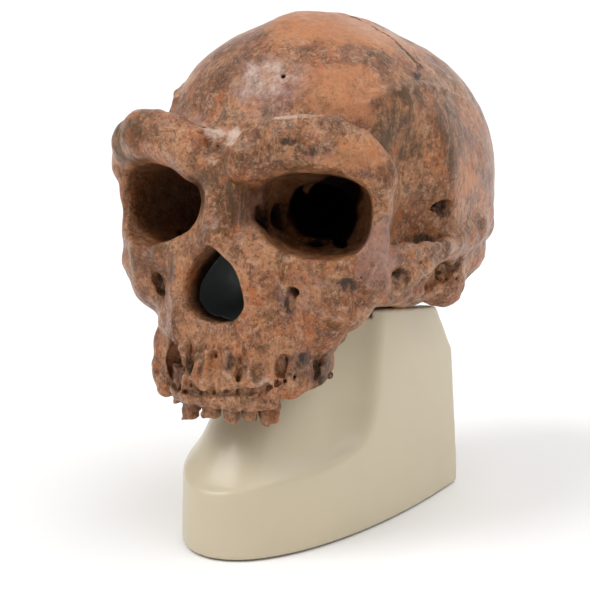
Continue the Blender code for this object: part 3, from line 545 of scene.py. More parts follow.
def details(f):
    """Openings, sockets, root ridges, foramina and breaks."""
    f.cut(orbit(0.0, -0.8), 1.2, side=1)
    f.cut(orbit(0.0, 0.9), 1.2, side=-1)
    f.cut((nose, (-17, -135, -34), (17, -60, 5)), 1.2, side=None)
    # Floor and back of the orbits: fissures and broken thin walls that open to the dark inside
    f.cut(ball((24, -54, 20), (12, 15, 11), (0, 0, 22)), 4)
    f.cut(ball((20, -44, 16), (8, 14, 7), (0, 0, 12)), 2)
    f.cut(limb([(41, -64, 3), (33, -56, 2), (26, -46, 4)], [2.6, 3.0, 3.4]), 1.2)
    # Torn openings in the inner wall and floor of the left orbit
    f.cut(limb([(12.5, -88.5, 18), (14.2, -85, 11.5), (18.4, -85.6, 6)], [1.1, 1.6, 1.0]), 0.6, side=1)
    f.cut(ball((12.4, -73, 13.6), (4.4, 6.6, 6.0)), 1.0, side=1)
    f.cut(ball((27.5, -66, 1.6), (6.2, 4.6, 4.0), (0, 0, 25)), 1.0, side=1)
    # Below the orbits: a foramen with a groove on the left, a long slit on the right
    f.cut(limb([(33.4, -94, -16), (33.8, -84, -13)], [2.3, 1.8]), 0.7, side=1)
    f.cut(limb([(32.8, -92.2, -18.6), (31.2, -92.6, -23.5)], [1.7, 1.2]), 1.0, side=1)
    f.cut(ball((42, -95, -17), (12, 6, 11), (0, 0, -35)), 7, side=-1)
    f.cut(limb([(40.8, -87.6, -12.6), (39.2, -85.6, -17.0), (37.0, -85.2, -21.0), (34.2, -87.4, -24.2)],
               [1.1, 2.5, 2.4, 1.1]), 0.5, side=-1)
    f.cut(ball((49, -79.4, -12.5), (2.4, 2.2, 2.0)), 1.2, side=1)
    # Palate, hole for the spinal cord, ear hole and the joint hollow for the lower jaw
    f.cut(ball((0, -66, -64.2), (24.0, 27, 20), power=3.2), 3)
    f.cut(ball((0, 22, -30), (15.5, 18.5, 14), power=2.3), 2)
    f.cut(ball((68, 3, -7), (9, 3.8, 5.0)), 1.2)
    f.cut(ball((62, -9, -12), (12, 7.5, 8), (0, 0, 12)), 2.5)
    f.cut(ball((62, -1, -11), (6, 4, 5)), 1.5)
    # Base: knuckles beside the big hole, processes behind the palate, grooves and small holes
    f.add(ball((13.5, 7, -24.6), (4.6, 9.5, 4.2), (0, 0, -22)), 3)
    f.add(ball((0, -10, -23.5), (10, 18, 5)), 4)
    f.add(limb([(13, -42, -14), (14, -46, -29), (14.5, -48, -42)], [4.2, 3.0, 2.4]), 3)
    f.add(limb([(20, -44, -14), (23, -46, -28)], [3.6, 2.2]), 3)
    f.cut(limb([(48, 4, -29), (44, 22, -27), (43, 36, -23)], [2.6, 3.2, 2.2]), 3)
    f.cut(ball((25, -4, -29), (3.4, 4.0, 5)), 1.2)
    f.cut(ball((21, 6, -29), (3.6, 3.0, 4)), 1.2)
    f.cut(ball((25, -24, -29), (2.6, 3.8, 5)), 1.0)
    f.cut(ball((30, -15, -29), (1.6, 1.8, 4)), 0.8)
    f.cut(ball((36, -28, -30), (12, 16, 8)), 5)
    f.cut(limb([(0, -84, -46), (0, -60, -44.6), (0, -44, -44)], [1.6, 0.7, 0.7]), 1.0, side=None)
    # Small dark hole of a wound in the temple, the deep crack behind the crest, a pit on the forehead
    f.cut(ball((69, -21, 20), (5, 3.2, 3.6)), 1.0, side=1)
    f.cut(ball((66, -21.5, 20), (5.5, 2.0, 2.4)), 0.8, side=1)
    f.cut(limb([(71, 24, 2), (69, 32, 1), (66, 40, 5)], [1.4, 1.8, 1.2]), 1.2, side=1)
    f.cut(limb([(75, 4, -1), (74, 16, 1.5)], [1.6, 1.6]), 2.5, side=1)
    f.cut(limb([(14, -77.5, 75), (14, -74, 73)], [0.9, 0.9]), 0.3, side=1)
    f.cut(limb([(48.5, -101, 48.5), (49, -99.5, 45)], [0.9, 0.9]), 0.4, side=-1)
    # Line of the temporal muscle
    f.add(limb([(47.6, -66.6, 57), (47.0, -64.2, 62), (51.2, -57.7, 65.8), (55, -46.6, 69.8),
                (58.2, -29.4, 72.5), (60.2, -10, 71.5), (60.5, 16, 68)],
               [1.0, 1.6, 1.6, 1.4, 1.2, 0.9, 0.5]), 2.5)
    f.cut(suture(0.9, 0.4), 0.4)
    # Root ridges and the groove above the gum line
    for angle in (-40, -21.8, -0.8, 14.5, 27.7, 40, 52):
        top, low = dental_arch(angle, 4.9), dental_arch(angle, 4.2)
        f.add(limb([(top[0], top[1], -43), (low[0], low[1], -57.5)], [2.0, 3.0]), 4.0, side=None)
    ledge = [dental_arch(angle, 3.4) for angle in (-42, -30, -18, -6, 6, 18, 30, 42)]
    f.add(limb([(x, y, -64.0) for x, y in ledge], [1.6, 2.2, 2.6, 2.6, 2.6, 2.6, 2.4, 1.8]), 4.5, side=None)
    f.cut(limb([(-12, -101.9, -61.6), (-4, -103.2, -61.0), (3, -103.2, -60.2), (11.5, -103.1, -58.9),
                (18, -100.2, -58.2), (23, -96.5, -57), (27.5, -92.8, -54), (33.7, -84.1, -50.5)],
               [1.2, 1.4, 1.4, 1.5, 1.5, 1.5, 1.5, 1.5]), 1.0, side=None)
    return f


def breaks(f):
    """Pits and lost pieces round the tooth row, and the hanging lobe with its empty socket on the right."""
    for angle, out, z, radii in (
            (-7, 6.4, -47.5, (1.9, 2.8, 8.0)), (7.5, 6.8, -46.5, (3.2, 2.8, 5.6)),
            (21, 6.4, -47, (1.5, 2.6, 7.4)), (34, 7.1, -47.5, (2.2, 2.8, 6.2)),
            (45, 6.4, -47, (2.6, 2.8, 6.4)), (56, 5.4, -46, (1.8, 2.4, 6.4)),
            (66, 4.6, -48, (1.8, 2.4, 5.8)), (-15, 5.8, -49, (1.5, 2.6, 6.5))):
        x, y = dental_arch(angle, out)
        f.cut(ball((x, y, z), radii), 1.2, side=None)
    # Right side: the front wall is lost beside the lobe
    f.add(limb([(-36, -76, -34), (-35.8, -79.5, -45), (-35.2, -82, -57), (-33.8, -83.5, -65)],
               [6.8, 6.8, 6.6, 4.4], 3), 3, side=None)
    f.cut(ball((-23.4, -91.5, -52.5), (6.6, 11, 11.4), (0, -8, 25)), 1.2, side=None)
    f.cut(ball((-18.8, -98, -52.5), (5.4, 9, 10.6), (0, -8, 25)), 1.2, side=None)
    f.cut(ball((-33, -72, -66), (9, 9, 9)), 3, side=None)


HOLLOW_WALL, HOLLOW_FLOOR, HOLLOW_FRONT = 6.5, 7, -46.0


def hollow():
    """The space for the brain, drawn in from the outer masses and clear of orbits, temples, ears and base."""
    masses = braincase_masses(HOLLOW_WALL)
    kept = (orbit(5.0), ball((72, -46, 0), (26, 35, 41)), ball((87, -52, 40), (37, 32, 35)),
            ball((66, -5, -11), (24, 17, 14)))

    def function(x, y, z):
        out = None
        for (mass, _, _), blend in masses[:3]:
            value = mass(x, y, z)
            out = value if out is None else smooth_min(out, value, blend)
        for solid, _, _ in kept:
            out = smooth_max(out, -solid(x, y, z), 4)
        level = BASE_LEVEL + HOLLOW_FLOOR
        floor = np.where(y > NAPE_START, level + (y - NAPE_START) * NAPE_RISE, level)
        out = smooth_max(out, (floor - z) * 0.93, 6)
        return smooth_max(out, HOLLOW_FRONT - y, 6)
    return function, (0, -60, -24), (70, 100, 105)


def roughen(f):
    """Small relief in the surface itself: soft waves all over, pitted and grained where bone is broken."""
    index, p = f.near(3.0)
    _, y, z = p.T
    ahead = ramp(-y, 40, 60)
    jaw = ramp(-z, 34, 44) * ahead
    underside = ramp(-z, 4, 16) * ramp(y, -46, -30)
    crest = within(p, (68, 14, -8), (14, 30, 24)) + within(p, (-68, 14, -8), (14, 30, 24))
    rough = np.clip(0.15 * jaw + 0.7 * underside + 0.5 * crest, 0, 1)
    broken = within(p, (35, -74, -50), (10, 18, 10), 0.4) + 0.15 * ramp(-z, 58, 63) * ahead
    brow = ramp(z, 34, 40) * ramp(-y, 86, 92) * (1 - ramp(z, 56, 64))
    above_ledge = ramp(z, -62, -58)
    upright, flute, lengthwise = (p * np.array((1.0, broad, tall))
                                  for broad, tall in ((1.0, 0.45), (1.0, 0.2), (0.5, 0.35)))
    move = 0.45 * noise(p, 17.0) + 0.22 * noise(p, 7.3, 3.1)
    move += rough * (0.55 * noise(p, 5.1, 7.7) + 0.42 * noise(p, 2.6, 1.3))
    move += rough * 1.1 * ramp(noise(p, 3.4, 9.2), 0.30, 0.75)
    move += jaw * above_ledge * (0.95 * noise(flute, 2.7, 15.1)
                                 + 0.5 * ramp(noise(upright, 2.8, 18.4), 0.2, 0.7))
    move += np.clip(broken, 0, 1) * (1.7 * ramp(noise(upright * 0.9, 2.9, 12.3), 0.05, 0.55) - 0.4)
    move += brow * (0.30 * noise(p, 3.0, 4.4) + 0.55 * ramp(noise(p, 2.4, 6.1), 0.32, 0.80))
    move += 0.16 * noise(lengthwise, 2.6, 2.2)
    f.d[index] += move


SEAM_HEIGHTS = (-75, -20, 20, 50, 70, 82, 91, 100, 112)
SEAM_PLACES = (-39.9, -39.9, -30, -22.5, -18.5, -15.5, -12.5, -7.0, -3.0)


def seam(x, y, z):
    """How far behind the seam between the two castings a place lies. It runs along the coronal suture."""
    place = np.interp(z, SEAM_HEIGHTS, SEAM_PLACES)
    wave = 1.2 * np.sin(x * 1.25) + 0.8 * np.sin(x * 2.9 + 1.0)
    high = np.clip((z - 70) / 14, 0, 1)
    return y - place - wave * high


SEAM_LAP = 0.5


def split(f, side, clearance):
    """Keeps the part of the form in front of the seam, side -1, or behind it, side 1."""
    x, y, z = f.grids()
    value = seam(x, y, z)
    f.d = np.maximum(f.d, (clearance - side * value).astype(np.float32))


def cranium_piece(name, low, high, step, side, most):
    f = sculpt(low, high, step)
    details(f)
    if side < 0:
        breaks(f)
    roughen(f)
    f.cut(hollow(), 0.0)
    split(f, side, -SEAM_LAP)
    return thinned(meshed(name, f, skull_to_world), most)


# Materials

def tree_of(name):
    made = bpy.data.materials.new(name)
    made.use_nodes = True
    tree = made.node_tree
    return made, tree, tree.nodes["Principled BSDF"]


class Nodes:
    """Short calls for shader nodes."""

    def __init__(self, tree):
        self.tree = tree
        self.places = self.make("ShaderNodeTexCoord").outputs["Object"]

    def make(self, kind, inputs=None, **settings):
        """A node with its settings, and its inputs linked to a socket or set to a value."""
        node = self.tree.nodes.new(kind)
        for key, value in settings.items():
            setattr(node, key, value)
        for key, value in (inputs or {}).items():
            self.feed(node.inputs[key], value)
        return node

    def link(self, a, b):
        self.tree.links.new(a, b)

    def feed(self, socket, value):
        if hasattr(value, "is_output"):
            self.link(value, socket)
        else:
            socket.default_value = value

    def noise(self, scale, detail=4.0, rough=0.55, stretch=None, twist=0.0, shift=0.0):
        place = self.places
        if stretch or shift:
            moved = {"Vector": place, "Scale": stretch or (1, 1, 1), "Location": (shift, shift, shift)}
            place = self.make("ShaderNodeMapping", moved).outputs["Vector"]
        node = self.make("ShaderNodeTexNoise", {"Vector": place, "Scale": scale, "Detail": detail,
                                                "Roughness": rough, "Distortion": twist})
        return node.outputs["Fac"]

    def mask(self, name):
        return self.make("ShaderNodeAttribute", attribute_name=name).outputs["Fac"]

    def span(self, value, low, high, out_low=0.0, out_high=1.0):
        node = self.make("ShaderNodeMapRange", {"Value": value, "From Min": low, "From Max": high,
                                                "To Min": out_low, "To Max": out_high},
                         interpolation_type="SMOOTHSTEP")
        return node.outputs["Result"]

    def maths(self, how, *values):
        node = self.make("ShaderNodeMath", operation=how)
        for socket, value in zip(node.inputs, values):
            self.feed(socket, value)
        return node.outputs[0]

    def mix(self, fac, a, b):
        a, b = (value if hasattr(value, "is_output") else (*value, 1.0) for value in (a, b))
        return self.make("ShaderNodeMix", {"Factor": fac, "A": a, "B": b}, data_type="RGBA").outputs["Result"]

    def bump(self, height, distance, strength, normal=None):
        node = self.make("ShaderNodeBump", {"Strength": strength, "Distance": distance, "Height": height})
        if normal is not None:
            self.link(normal, node.inputs["Normal"])
        return node.outputs["Normal"]


def fossil_material(name, dark=0.0):
    """Mottled brown cast: rust, tan and olive patches, fine streaks, painted shade in the hollows and
    openings, and paler ridges from edge wear with a painted highlight.
    """
    made, tree, shader = tree_of(name)
    n = Nodes(tree)
    dark_brown, brown = (0.060, 0.021, 0.008), (0.205, 0.072, 0.026)
    tan, cream = (0.430, 0.190, 0.085), (0.620, 0.385, 0.240)
    rust, olive = (0.400, 0.118, 0.030), (0.110, 0.058, 0.015)
    mauve = (0.235, 0.116, 0.090)
    colour = n.mix(n.span(n.noise(46, 8, 0.72), 0.43, 0.57), brown, tan)
    colour = n.mix(n.span(n.noise(62, 7, 0.70, shift=3.0), 0.50, 0.61, 0.0, 0.8), colour, rust)
    colour = n.mix(n.span(n.noise(70, 7, 0.70, shift=7.0), 0.52, 0.64, 0.0, 0.5), colour, mauve)
    colour = n.mix(n.span(n.noise(95, 8, 0.72, shift=1.7), 0.51, 0.64, 0.0, 0.65), colour, olive)
    streak = n.noise(150, 8, 0.74, stretch=(1.0, 0.45, 0.45), twist=0.9)
    colour = n.mix(n.span(streak, 0.49, 0.63, 0.0, 0.65), colour, dark_brown)
    colour = n.mix(n.span(n.noise(210, 7, 0.74, twist=0.6, shift=5.0), 0.52, 0.64, 0.0, 0.45), colour, cream)
    fibre = n.noise(125, 5, 0.70, stretch=(1.0, 1.0, 0.5), twist=1.3, shift=6.5)
    line = n.maths("ABSOLUTE", n.maths("SUBTRACT", fibre, 0.5))
    colour = n.mix(n.span(line, 0.0, 0.012, 0.50, 0.0), colour, cream)
    speck = n.noise(520, 5, 0.75, shift=9.0)
    colour = n.mix(n.span(speck, 0.50, 0.62, 0.0, 0.65), colour, dark_brown)
    colour = n.mix(n.span(n.noise(610, 4, 0.7, shift=4.0), 0.55, 0.68, 0.0, 0.40), colour, cream)
    # Painted areas held in the mesh, with ragged borders and gaps from noise
    ragged = n.maths("MULTIPLY_ADD", n.noise(150, 7, 0.75, shift=2.3), 2.2, -1.1)
    broken = n.span(n.noise(240, 6, 0.75, stretch=(1.0, 1.0, 0.5), shift=8.2), 0.40, 0.56, 0.25, 1.0)
    upright = n.noise(150, 6, 0.72, stretch=(1.0, 1.0, 0.28), twist=0.4, shift=4.7)
    upright = n.span(upright, 0.41, 0.57, 0.15, 1.0)

    def area(label, tint, low, high, most, gaps=None):
        nonlocal colour
        value = n.maths("ADD", n.mask(label), ragged)
        inside = n.maths("MULTIPLY", n.span(value, low, high, 0.0, most), n.span(n.mask(label), 0.02, 0.3))
        if gaps is not None:
            inside = n.maths("MULTIPLY", inside, gaps)
        colour = n.mix(inside, colour, tint)

    # Mauve tone, and a painted sheen on the forehead and in the trough above the brow
    area("mauve", (0.330, 0.190, 0.165), 0.30, 1.05, 0.55)
    area("olive", (0.072, 0.036, 0.009), 0.30, 0.90, 0.85, upright)
    area("orange", (0.540, 0.210, 0.080), 0.30, 1.00, 0.70)
    # Painted highlights and sheen: pale spots in the trough above the brow, on the forehead, along the crest,
    # on the nose and along the arch
    area("pale", (0.700, 0.540, 0.450), 0.35, 1.10, 0.80)
    # Dark stains, the suture and the wound, and painted shade in the foramina, the slit, the ear hole, under
    # the arch, in the pits and lost sockets and along the gum-line groove
    area("stain_and_shade", (0.018, 0.010, 0.006), 0.40, 0.95, 0.92, broken)
    # Edge wear with a painted highlight: ridges found from the relief turn paler
    colour = n.mix(n.span(n.mask("ridge"), 0.15, 0.9, 0.0, 0.4), colour, cream)
    # Painted shade: hollows found from the relief are darkened towards near black
    deep = n.span(n.maths("ADD", n.mask("cavity"), n.maths("MULTIPLY", ragged, 0.35)), 0.15, 0.75, 0.0, 0.9)
    colour = n.mix(deep, colour, (0.035, 0.016, 0.010))
    # Painted shade on the orbit walls, darker with depth
    colour = n.mix(n.span(n.mask("socket"), 0.0, 1.0, 0.0, 0.78), colour, (0.040, 0.0110, 0.0040))
    # Near black inside the openings: painted shade deep in the orbits and the nose, dark paint with painted
    # shade in the braincase
    colour = n.mix(n.mask("inner"), colour, (0.004, 0.002, 0.0015))
    if dark:
        colour = n.mix(dark, colour, (0.040, 0.018, 0.011))
    n.link(colour, shader.inputs["Base Color"])
    gloss = n.span(n.noise(120, 5, shift=4.0), 0.35, 0.7, 0.30, 0.46)
    n.link(gloss, shader.inputs["Roughness"])
    # Hollows and the insides of the openings are dull, so they stay dark
    dull = n.maths("MAXIMUM", deep, n.maths("MAXIMUM", n.mask("socket"), n.mask("inner")))
    n.link(n.span(dull, 0.0, 0.8, 0.24, 0.04), shader.inputs["Specular IOR Level"])
    n.link(n.span(dull, 0.0, 0.6, 0.16, 0.0), shader.inputs["Coat Weight"])
    shader.inputs["Coat Roughness"].default_value = 0.16
    first = n.bump(n.noise(240, 6, 0.65, shift=6.0), 0.0016, 0.6)
    second = n.bump(speck, 0.0008, 0.5, first)
    third = n.bump(streak, 0.0012, 0.4, second)
    n.link(third, shader.inputs["Normal"])
    return made


def plain_material(name, colour, other, roughness, scale, grain, metallic=0.0):
    """An even moulded, rubber or metal surface with a faint change of shade and a fine grain."""
    made, tree, shader = tree_of(name)
    n = Nodes(tree)
    shade = n.span(n.noise(scale, 3), 0.3, 0.7)
    n.link(n.mix(shade, colour, other), shader.inputs["Base Color"])
    n.link(n.span(n.noise(scale * 6, 4, shift=2.0), 0.3, 0.7, roughness - 0.05, roughness + 0.05),
           shader.inputs["Roughness"])
    n.link(n.bump(n.noise(scale * 40, 4, 0.6, shift=4.0), grain, 0.5), shader.inputs["Normal"])
    shader.inputs["Metallic"].default_value = metallic
    return made, shader


def paint(made, material):
    made.data.materials.clear()
    made.data.materials.append(material)


fossil = fossil_material("fossil_cast")
stump_look = fossil_material("stump_cast", 0.22)


# Painted spots of each mask: centre, radii and strength, in the cranium's frame
SPOTS = {
    # The first two mauve spots, on the forehead and in the trough above the brow, are a painted sheen; the
    # rest are tone
    "mauve": (
        (10, -76, 72, 22, 20, 14, 0.8), (-25, -83, 50, 14, 12, 9, 0.7), (63, -74, 2, 10, 12, 18, 1.0),
        (14, -94, 16, 9, 10, 14, 0.8), (40, -92, -16, 14, 10, 10, 0.6), (70, 30, 50, 16, 50, 50, 0.5),
        (-60, -78, 40, 16, 16, 10, 0.5), (62, -62, 26, 8, 12, 16, 0.8)),
    "olive": (
        (60, -50, 52, 14, 20, 18, 0.9), (68, -16, 56, 10, 20, 24, 0.8), (-52, -92, 44, 22, 14, 12, 0.9),
        (54, -44, 64, 10, 18, 8, 1.0), (0, -98, 34, 16, 8, 10, 0.8), (-20, -92, -12, 9, 12, 14, 0.7),
        (66, -40, -16, 9, 22, 10, 0.9), (-40, -30, 85, 22, 40, 20, 0.6), (10, 80, 60, 40, 30, 30, 0.5),
        (9, -94, 22, 13, 12, 15, 1.0), (-8, -96, 30, 10, 10, 8, 0.8)),
    "orange": (
        (20, -30, 102, 40, 44, 22, 1.0), (66, -4, 36, 10, 16, 14, 0.8), (10, -98, -44, 26, 12, 8, 0.45),
        (56, -88, 42, 14, 12, 8, 0.8), (36, -62, 66, 20, 20, 18, 0.9), (0, 60, 70, 40, 40, 26, 0.6)),
    # Pale spots: mostly painted highlights and sheen, in the trough above the brow, on the forehead, along
    # the brow crest, on the nose tip and along the arch
    "pale": (
        (-12, -92.5, 48.5, 8, 6, 4.5, 1.0), (0.5, -90, 47.5, 3.5, 6, 6, 1.0), (8, -77, 73, 17, 14, 9, 0.62),
        (0, -104, 8, 5, 8, 8, 0.4), (22, -96, -50, 8, 8, 8, 0.5), (30, -99, 57, 16, 6, 2.5, 0.7),
        (67, -40, 5, 6, 26, 2, 0.6)),
    # Dark spots: real stains on the brow, the wound and the suture, and painted shade in the foramina, the
    # slit, the ear hole, under the arch, in the pits and lost sockets and along the gum-line groove
    "stain_and_shade": (
        (44.8, -101.1, 43.4, 8, 6, 2.8, 1.0), (35, -102.6, 45.8, 5, 6, 2.0, 0.9),
        (53.6, -86, -11.6, 5, 6, 3.8, 1.0), (66.3, -62, -8.4, 7, 6, 4, 0.9),
        (66.5, -18.3, 19.7, 4.5, 4.5, 5.0, 1.0), (9.6, -104, -45, 3.4, 5, 6, 1.0),
        (-3, -104.5, -46, 2.4, 5, 8, 0.85), (16.6, -101.4, -46, 2.0, 5, 8, 0.85),
        (21, -98, -49, 2.4, 5, 6, 0.8), (35, -83, -45, 3, 5, 7, 0.9), (39, -75, -50, 3, 6, 8, 0.9),
        (-10, -103, -49, 2.0, 5, 7, 0.8), (29.4, -88.5, -48, 6, 6, 6, 0.9),
        (32.4, -89, -16.2, 3.4, 5, 3.4, 1.0), (31.9, -92.4, -21, 2.4, 4, 4.0, 1.0),
        (-37.6, -84.0, -18.8, 4.0, 5.5, 8, 1.0), (66, 0, -9, 9, 10, 8, 0.9), (59, -28, 5.5, 7, 15, 3, 1.0),
        (22.4, -10.1, 100.3, 3, 2.2, 2.4, 0.9), (29.6, -13.9, 97.2, 3, 2.2, 2.4, 0.9),
        (42, -20.4, 90.4, 2.4, 2, 3, 0.9), (48.2, -20.4, 85.6, 2.4, 2, 3.4, 0.9),
        (51.8, -19.4, 82.2, 2.4, 2.2, 3, 0.9), (55.6, -31, 77, 2.4, 5, 3, 0.8), (71, -33, -7, 7, 8, 5, 1.0),
        (0, -95, -61, 34, 16, 3.2, 0.6), (-21, -95, -51, 8, 10, 12, 1.0), (38, -74, -50, 8, 14, 10, 0.75))}
# Torn openings of the left orbit, painted near black for the shade of the dark inside behind them
TORN = ((13.2, -86, 12, 3.6, 5.0, 8, 1.0), (10.4, -73, 13.6, 8.5, 8.0, 7.6, 1.0),
        (27.5, -66, 0.6, 7.4, 6.0, 5.6, 1.0))


def spots(p, ragged, items):
    """The strongest of some soft spots at each place, with ragged borders."""
    total = np.zeros(len(p))
    for *place, strength in items:
        centre, radii = place[:3], np.array(place[3:])
        spot = within(p, centre, radii, 0.55) + 0.5 * ragged * within(p, centre, radii * 1.4, 0.6)
        total = np.maximum(total, strength * np.clip(spot, 0, 1))
    return total


def cranium_masks(made):
    """Masks for the painted areas, from each corner's place and the relief round it: tone, stains and painted
    shade in spots, painted shade in hollows, orbits and openings, paler ridges with a painted highlight.
    """
    p = world_to_skull(positions(made))
    side, y, z = p.T
    x, on_left = np.abs(side), side > 0
    mirrored = np.stack([x, y, z], axis=1)
    broad, fine = relief(made, 14), relief(made, 3)
    waves, small_waves = noise(p, 9.0, 5.5), noise(p, 5.0, 9.1)
    ragged = 0.35 * waves + 0.2 * noise(p, 4.0, 8.5)
    # Painted shade in the hollows, and paler ridges from edge wear with a painted highlight
    set_mask(made, "cavity", ramp(-broad - 1.2 * fine, 0.18, 1.25))
    set_mask(made, "ridge", ramp(broad + 1.2 * fine, 0.25, 1.5))
    on_suture = 1 - ramp(suture(1.1, 0.3)[0](x, y, z), -0.4, 0.9)
    for label, items in SPOTS.items():
        painted = spots(p, ragged, items)
        set_mask(made, label, 0.95 * on_suture + painted if label == "stain_and_shade" else painted)
    # Painted shade: dark inside the orbits and the nose, deepest far in, and dark paint with painted shade
    # inside the braincase. The right orbit is the darker one at its rim
    depth = (mirrored - ORBIT_ORIGIN) @ ORBIT_AXIS
    shade = depth + np.where(on_left, 0.12, 0.0) * (z - 14) + 3.0 * waves + 2.0 * small_waves
    shade -= 0.8 * np.clip(x - 40, 0, 14) * ramp(-z, -22, -12) + 0.6 * np.clip(24 - x, 0, 12)
    shade += 1.1 * np.clip(z - 19, 0, 14) * ramp(x, 26, 40)
    middle_line = ORBIT_ORIGIN + depth[:, None] * ORBIT_AXIS
    facing = normals(made)
    facing[:, 0] *= np.sign(side)
    towards = ((middle_line - mirrored) * facing).sum(1) > 0
    close = orbit(9.0)[0](x, y, z) < 0.0
    on_right = np.maximum(0.85 * ramp(shade, 24, 36), 0.5 * ramp(depth + 2 * small_waves, 0, 9))
    deep = np.where(on_left, ramp(shade, 19, 24), on_right)
    # Near black painted into the torn openings, for the shade of the dark inside behind them
    torn = spots(p, ragged, TORN) * (depth > 1.0)
    orbit_void_shade = close * np.maximum((towards | (depth > 24)) * deep, torn) * 0.99
    # Painted shade on the orbit walls, growing with depth and height
    painted_orbit_gloom = depth + 0.30 * (z - 10) + 3 * waves
    painted_orbit_gloom = np.where(on_left, 0.72 * ramp(painted_orbit_gloom, -3.0, 7.0), 0.92 * ramp(painted_orbit_gloom, -4.0, 3.0))
    set_mask(made, "socket", close * towards * painted_orbit_gloom)
    nose_inside_shade = (nose(side, y, z) < 1.5) * ramp(y, -99, -90) * 0.95
    brain_paint_and_shade = hollow()[0](x, y, z) < 1.0
    set_mask(made, "inner", np.maximum.reduce([orbit_void_shade, nose_inside_shade, brain_paint_and_shade * 0.9]))


face = cranium_piece("cranium_face", (-79, -114, -72), (79, 6, 115), SKULL_STEP, -1, 190000)
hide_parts("face_casting")
rear = cranium_piece("cranium_braincase", (-79, -47, -34), (79, 112, 115), REAR_STEP, 1, 120000)
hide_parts("braincase_casting")
for piece in (face, rear):
    cranium_masks(piece)
    paint(piece, fossil)
    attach(piece, "cranium")


# Tooth stumps

# From right to left: angle round the arch, half widths along and across it, tip and lean
STUMPS = (
    (-80.1, 4.4, 4.6, -60.0, 0.3), (-68.9, 4.4, 4.6, -60.4, -0.4), (-58.1, 3.8, 4.2, -61.0, 0.5),
    (-47.7, 3.5, 4.2, -63.2, -0.5), (-36.0, 3.6, 4.4, -68.2, 0.6), (-21.8, 4.2, 4.2, -74.0, 0.2),
    (-0.8, 4.2, 4.0, -71.4, -0.2), (14.5, 3.8, 3.9, -72.2, 0.4), (27.7, 3.6, 3.9, -70.0, -0.3),
    (39.7, 4.7, 4.4, -72.4, 0.3), (49.5, 2.9, 3.6, -60.6, -0.6), (59.2, 2.8, 2.6, -57.4, 0.5),
    (69.8, 3.0, 2.2, -56.0, -0.3), (81.0, 3.2, 2.0, -56.0, 0.4))
ROOT_TOP, NECK_HEIGHT, TIP_SHIFT, STUMP_POWER = -53.0, -62.0, 1.2, 2.6
NOTCHED = 10


def stump(number, angle, along, across, tip, lean):
    """A broken stump, shaped with X along the tooth row and then set in its place."""
    x0, y0 = dental_arch(angle)
    x1, y1 = dental_arch(angle + 2.0)
    heading = math.atan2(y1 - y0, x1 - x0)
    c, s = math.cos(heading), math.sin(heading)
    f = Field((-8, -8, tip - 2), (8, 8, ROOT_TOP + 2), TOOTH_STEP)
    x, y, z = f.grids()
    down = np.clip((ROOT_TOP - z) / (ROOT_TOP - tip), 0, 1)
    neck = 1.0 - 0.16 * np.exp(-((z - NECK_HEIGHT) / 2.6) ** 2) - 0.14 * down ** 3
    u, v = (x - lean * TIP_SHIFT * down) / (along * neck), y / (across * neck)
    side = (np.abs(u) ** STUMP_POWER + np.abs(v) ** STUMP_POWER) ** (1 / STUMP_POWER)
    side = (side - 1) * min(along, across)
    # Broken end: a tilted plane, dished round the root canal, with a notch in front
    end = (tip - z) + 0.35 * lean * x + 0.22 * y
    f.d = np.maximum(smooth_max(side, end, 0.9), z - ROOT_TOP).astype(np.float32)
    f.cut(ball((lean * TIP_SHIFT, 0.3, tip - 0.4), (along * 0.42, across * 0.36, 2.6)), 0.6, side=None)
    if number == NOTCHED:
        notch, blend = limb([(0.6, -across - 0.2, tip - 1), (0.4, -across + 0.2, tip + 9)], [1.7, 1.3]), 0.6
    else:
        places = [(along * 0.55, -across, tip - 1), (along * 0.3, -across - 0.3, tip + 8)]
        notch, blend = limb(places, [0.9, 0.6]), 0.7
    f.cut(notch, blend, side=None)
    near, p = f.near(2.0)
    q = p + 17.0 * number
    f.d[near] += 0.65 * noise(q, 3.3) + 0.30 * noise(q, 1.6) + 0.9 * ramp(noise(q, 2.4, 3.0), 0.25, 0.7)
    f.d = np.maximum(f.d, z - ROOT_TOP).astype(np.float32)

    def to_world(points):
        px, py, pz = points.T
        return skull_to_world(np.stack([x0 + c * px - s * py, y0 + s * px + c * py, pz], axis=1))
    made = meshed("stump_%02d" % number, f, to_world)
    # Painted shade in the stump's hollows, edge wear with a painted highlight on its ridges
    out = relief(made, 5)
    set_mask(made, "cavity", ramp(-out, 0.08, 0.6))
    set_mask(made, "ridge", ramp(out, 0.15, 0.8))
    # Darker near the root and at the broken end
    z = world_to_skull(positions(made))[:, 2]
    set_mask(made, "stain_and_shade", 0.35 * ramp(-z, 68.5, -tip + 1.0) + 0.75 * ramp(z, -69.0, -63.5))
    for label in ("mauve", "olive", "orange", "pale", "inner", "socket"):
        set_mask(made, label, np.full(len(z), 0.5 if label == "orange" else 0.0))
    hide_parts("tooth_stump_%02d" % number)
    paint(made, stump_look)
    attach(made, "cranium")


for place, row in enumerate(STUMPS):
    stump(place + 1, *row)


# Nasal backing: a smooth dark bowl behind the opening

BOWL_FRONT, BOWL_CURVE, BOWL_THICKNESS = -76.0, 13.0, 2.2


def nasal_bowl():
    f = Field((-19, -94, -36), (19, -60, 8), BOWL_STEP)
    x, y, z = f.grids()
    away = (x / 15.5) ** 2 + ((z + 15.0) / 18.0) ** 2
    front = BOWL_FRONT - BOWL_CURVE * np.clip(away, 0, 1.3)
    sheet = np.maximum(front - y, y - front - BOWL_THICKNESS) * 0.75
    outline = nose(x, np.full_like(y, -80.0), z)
    f.d = smooth_max(sheet, outline - 0.9, 0.8).astype(np.float32)
    return meshed("nasal_backing_bowl", f, skull_to_world)


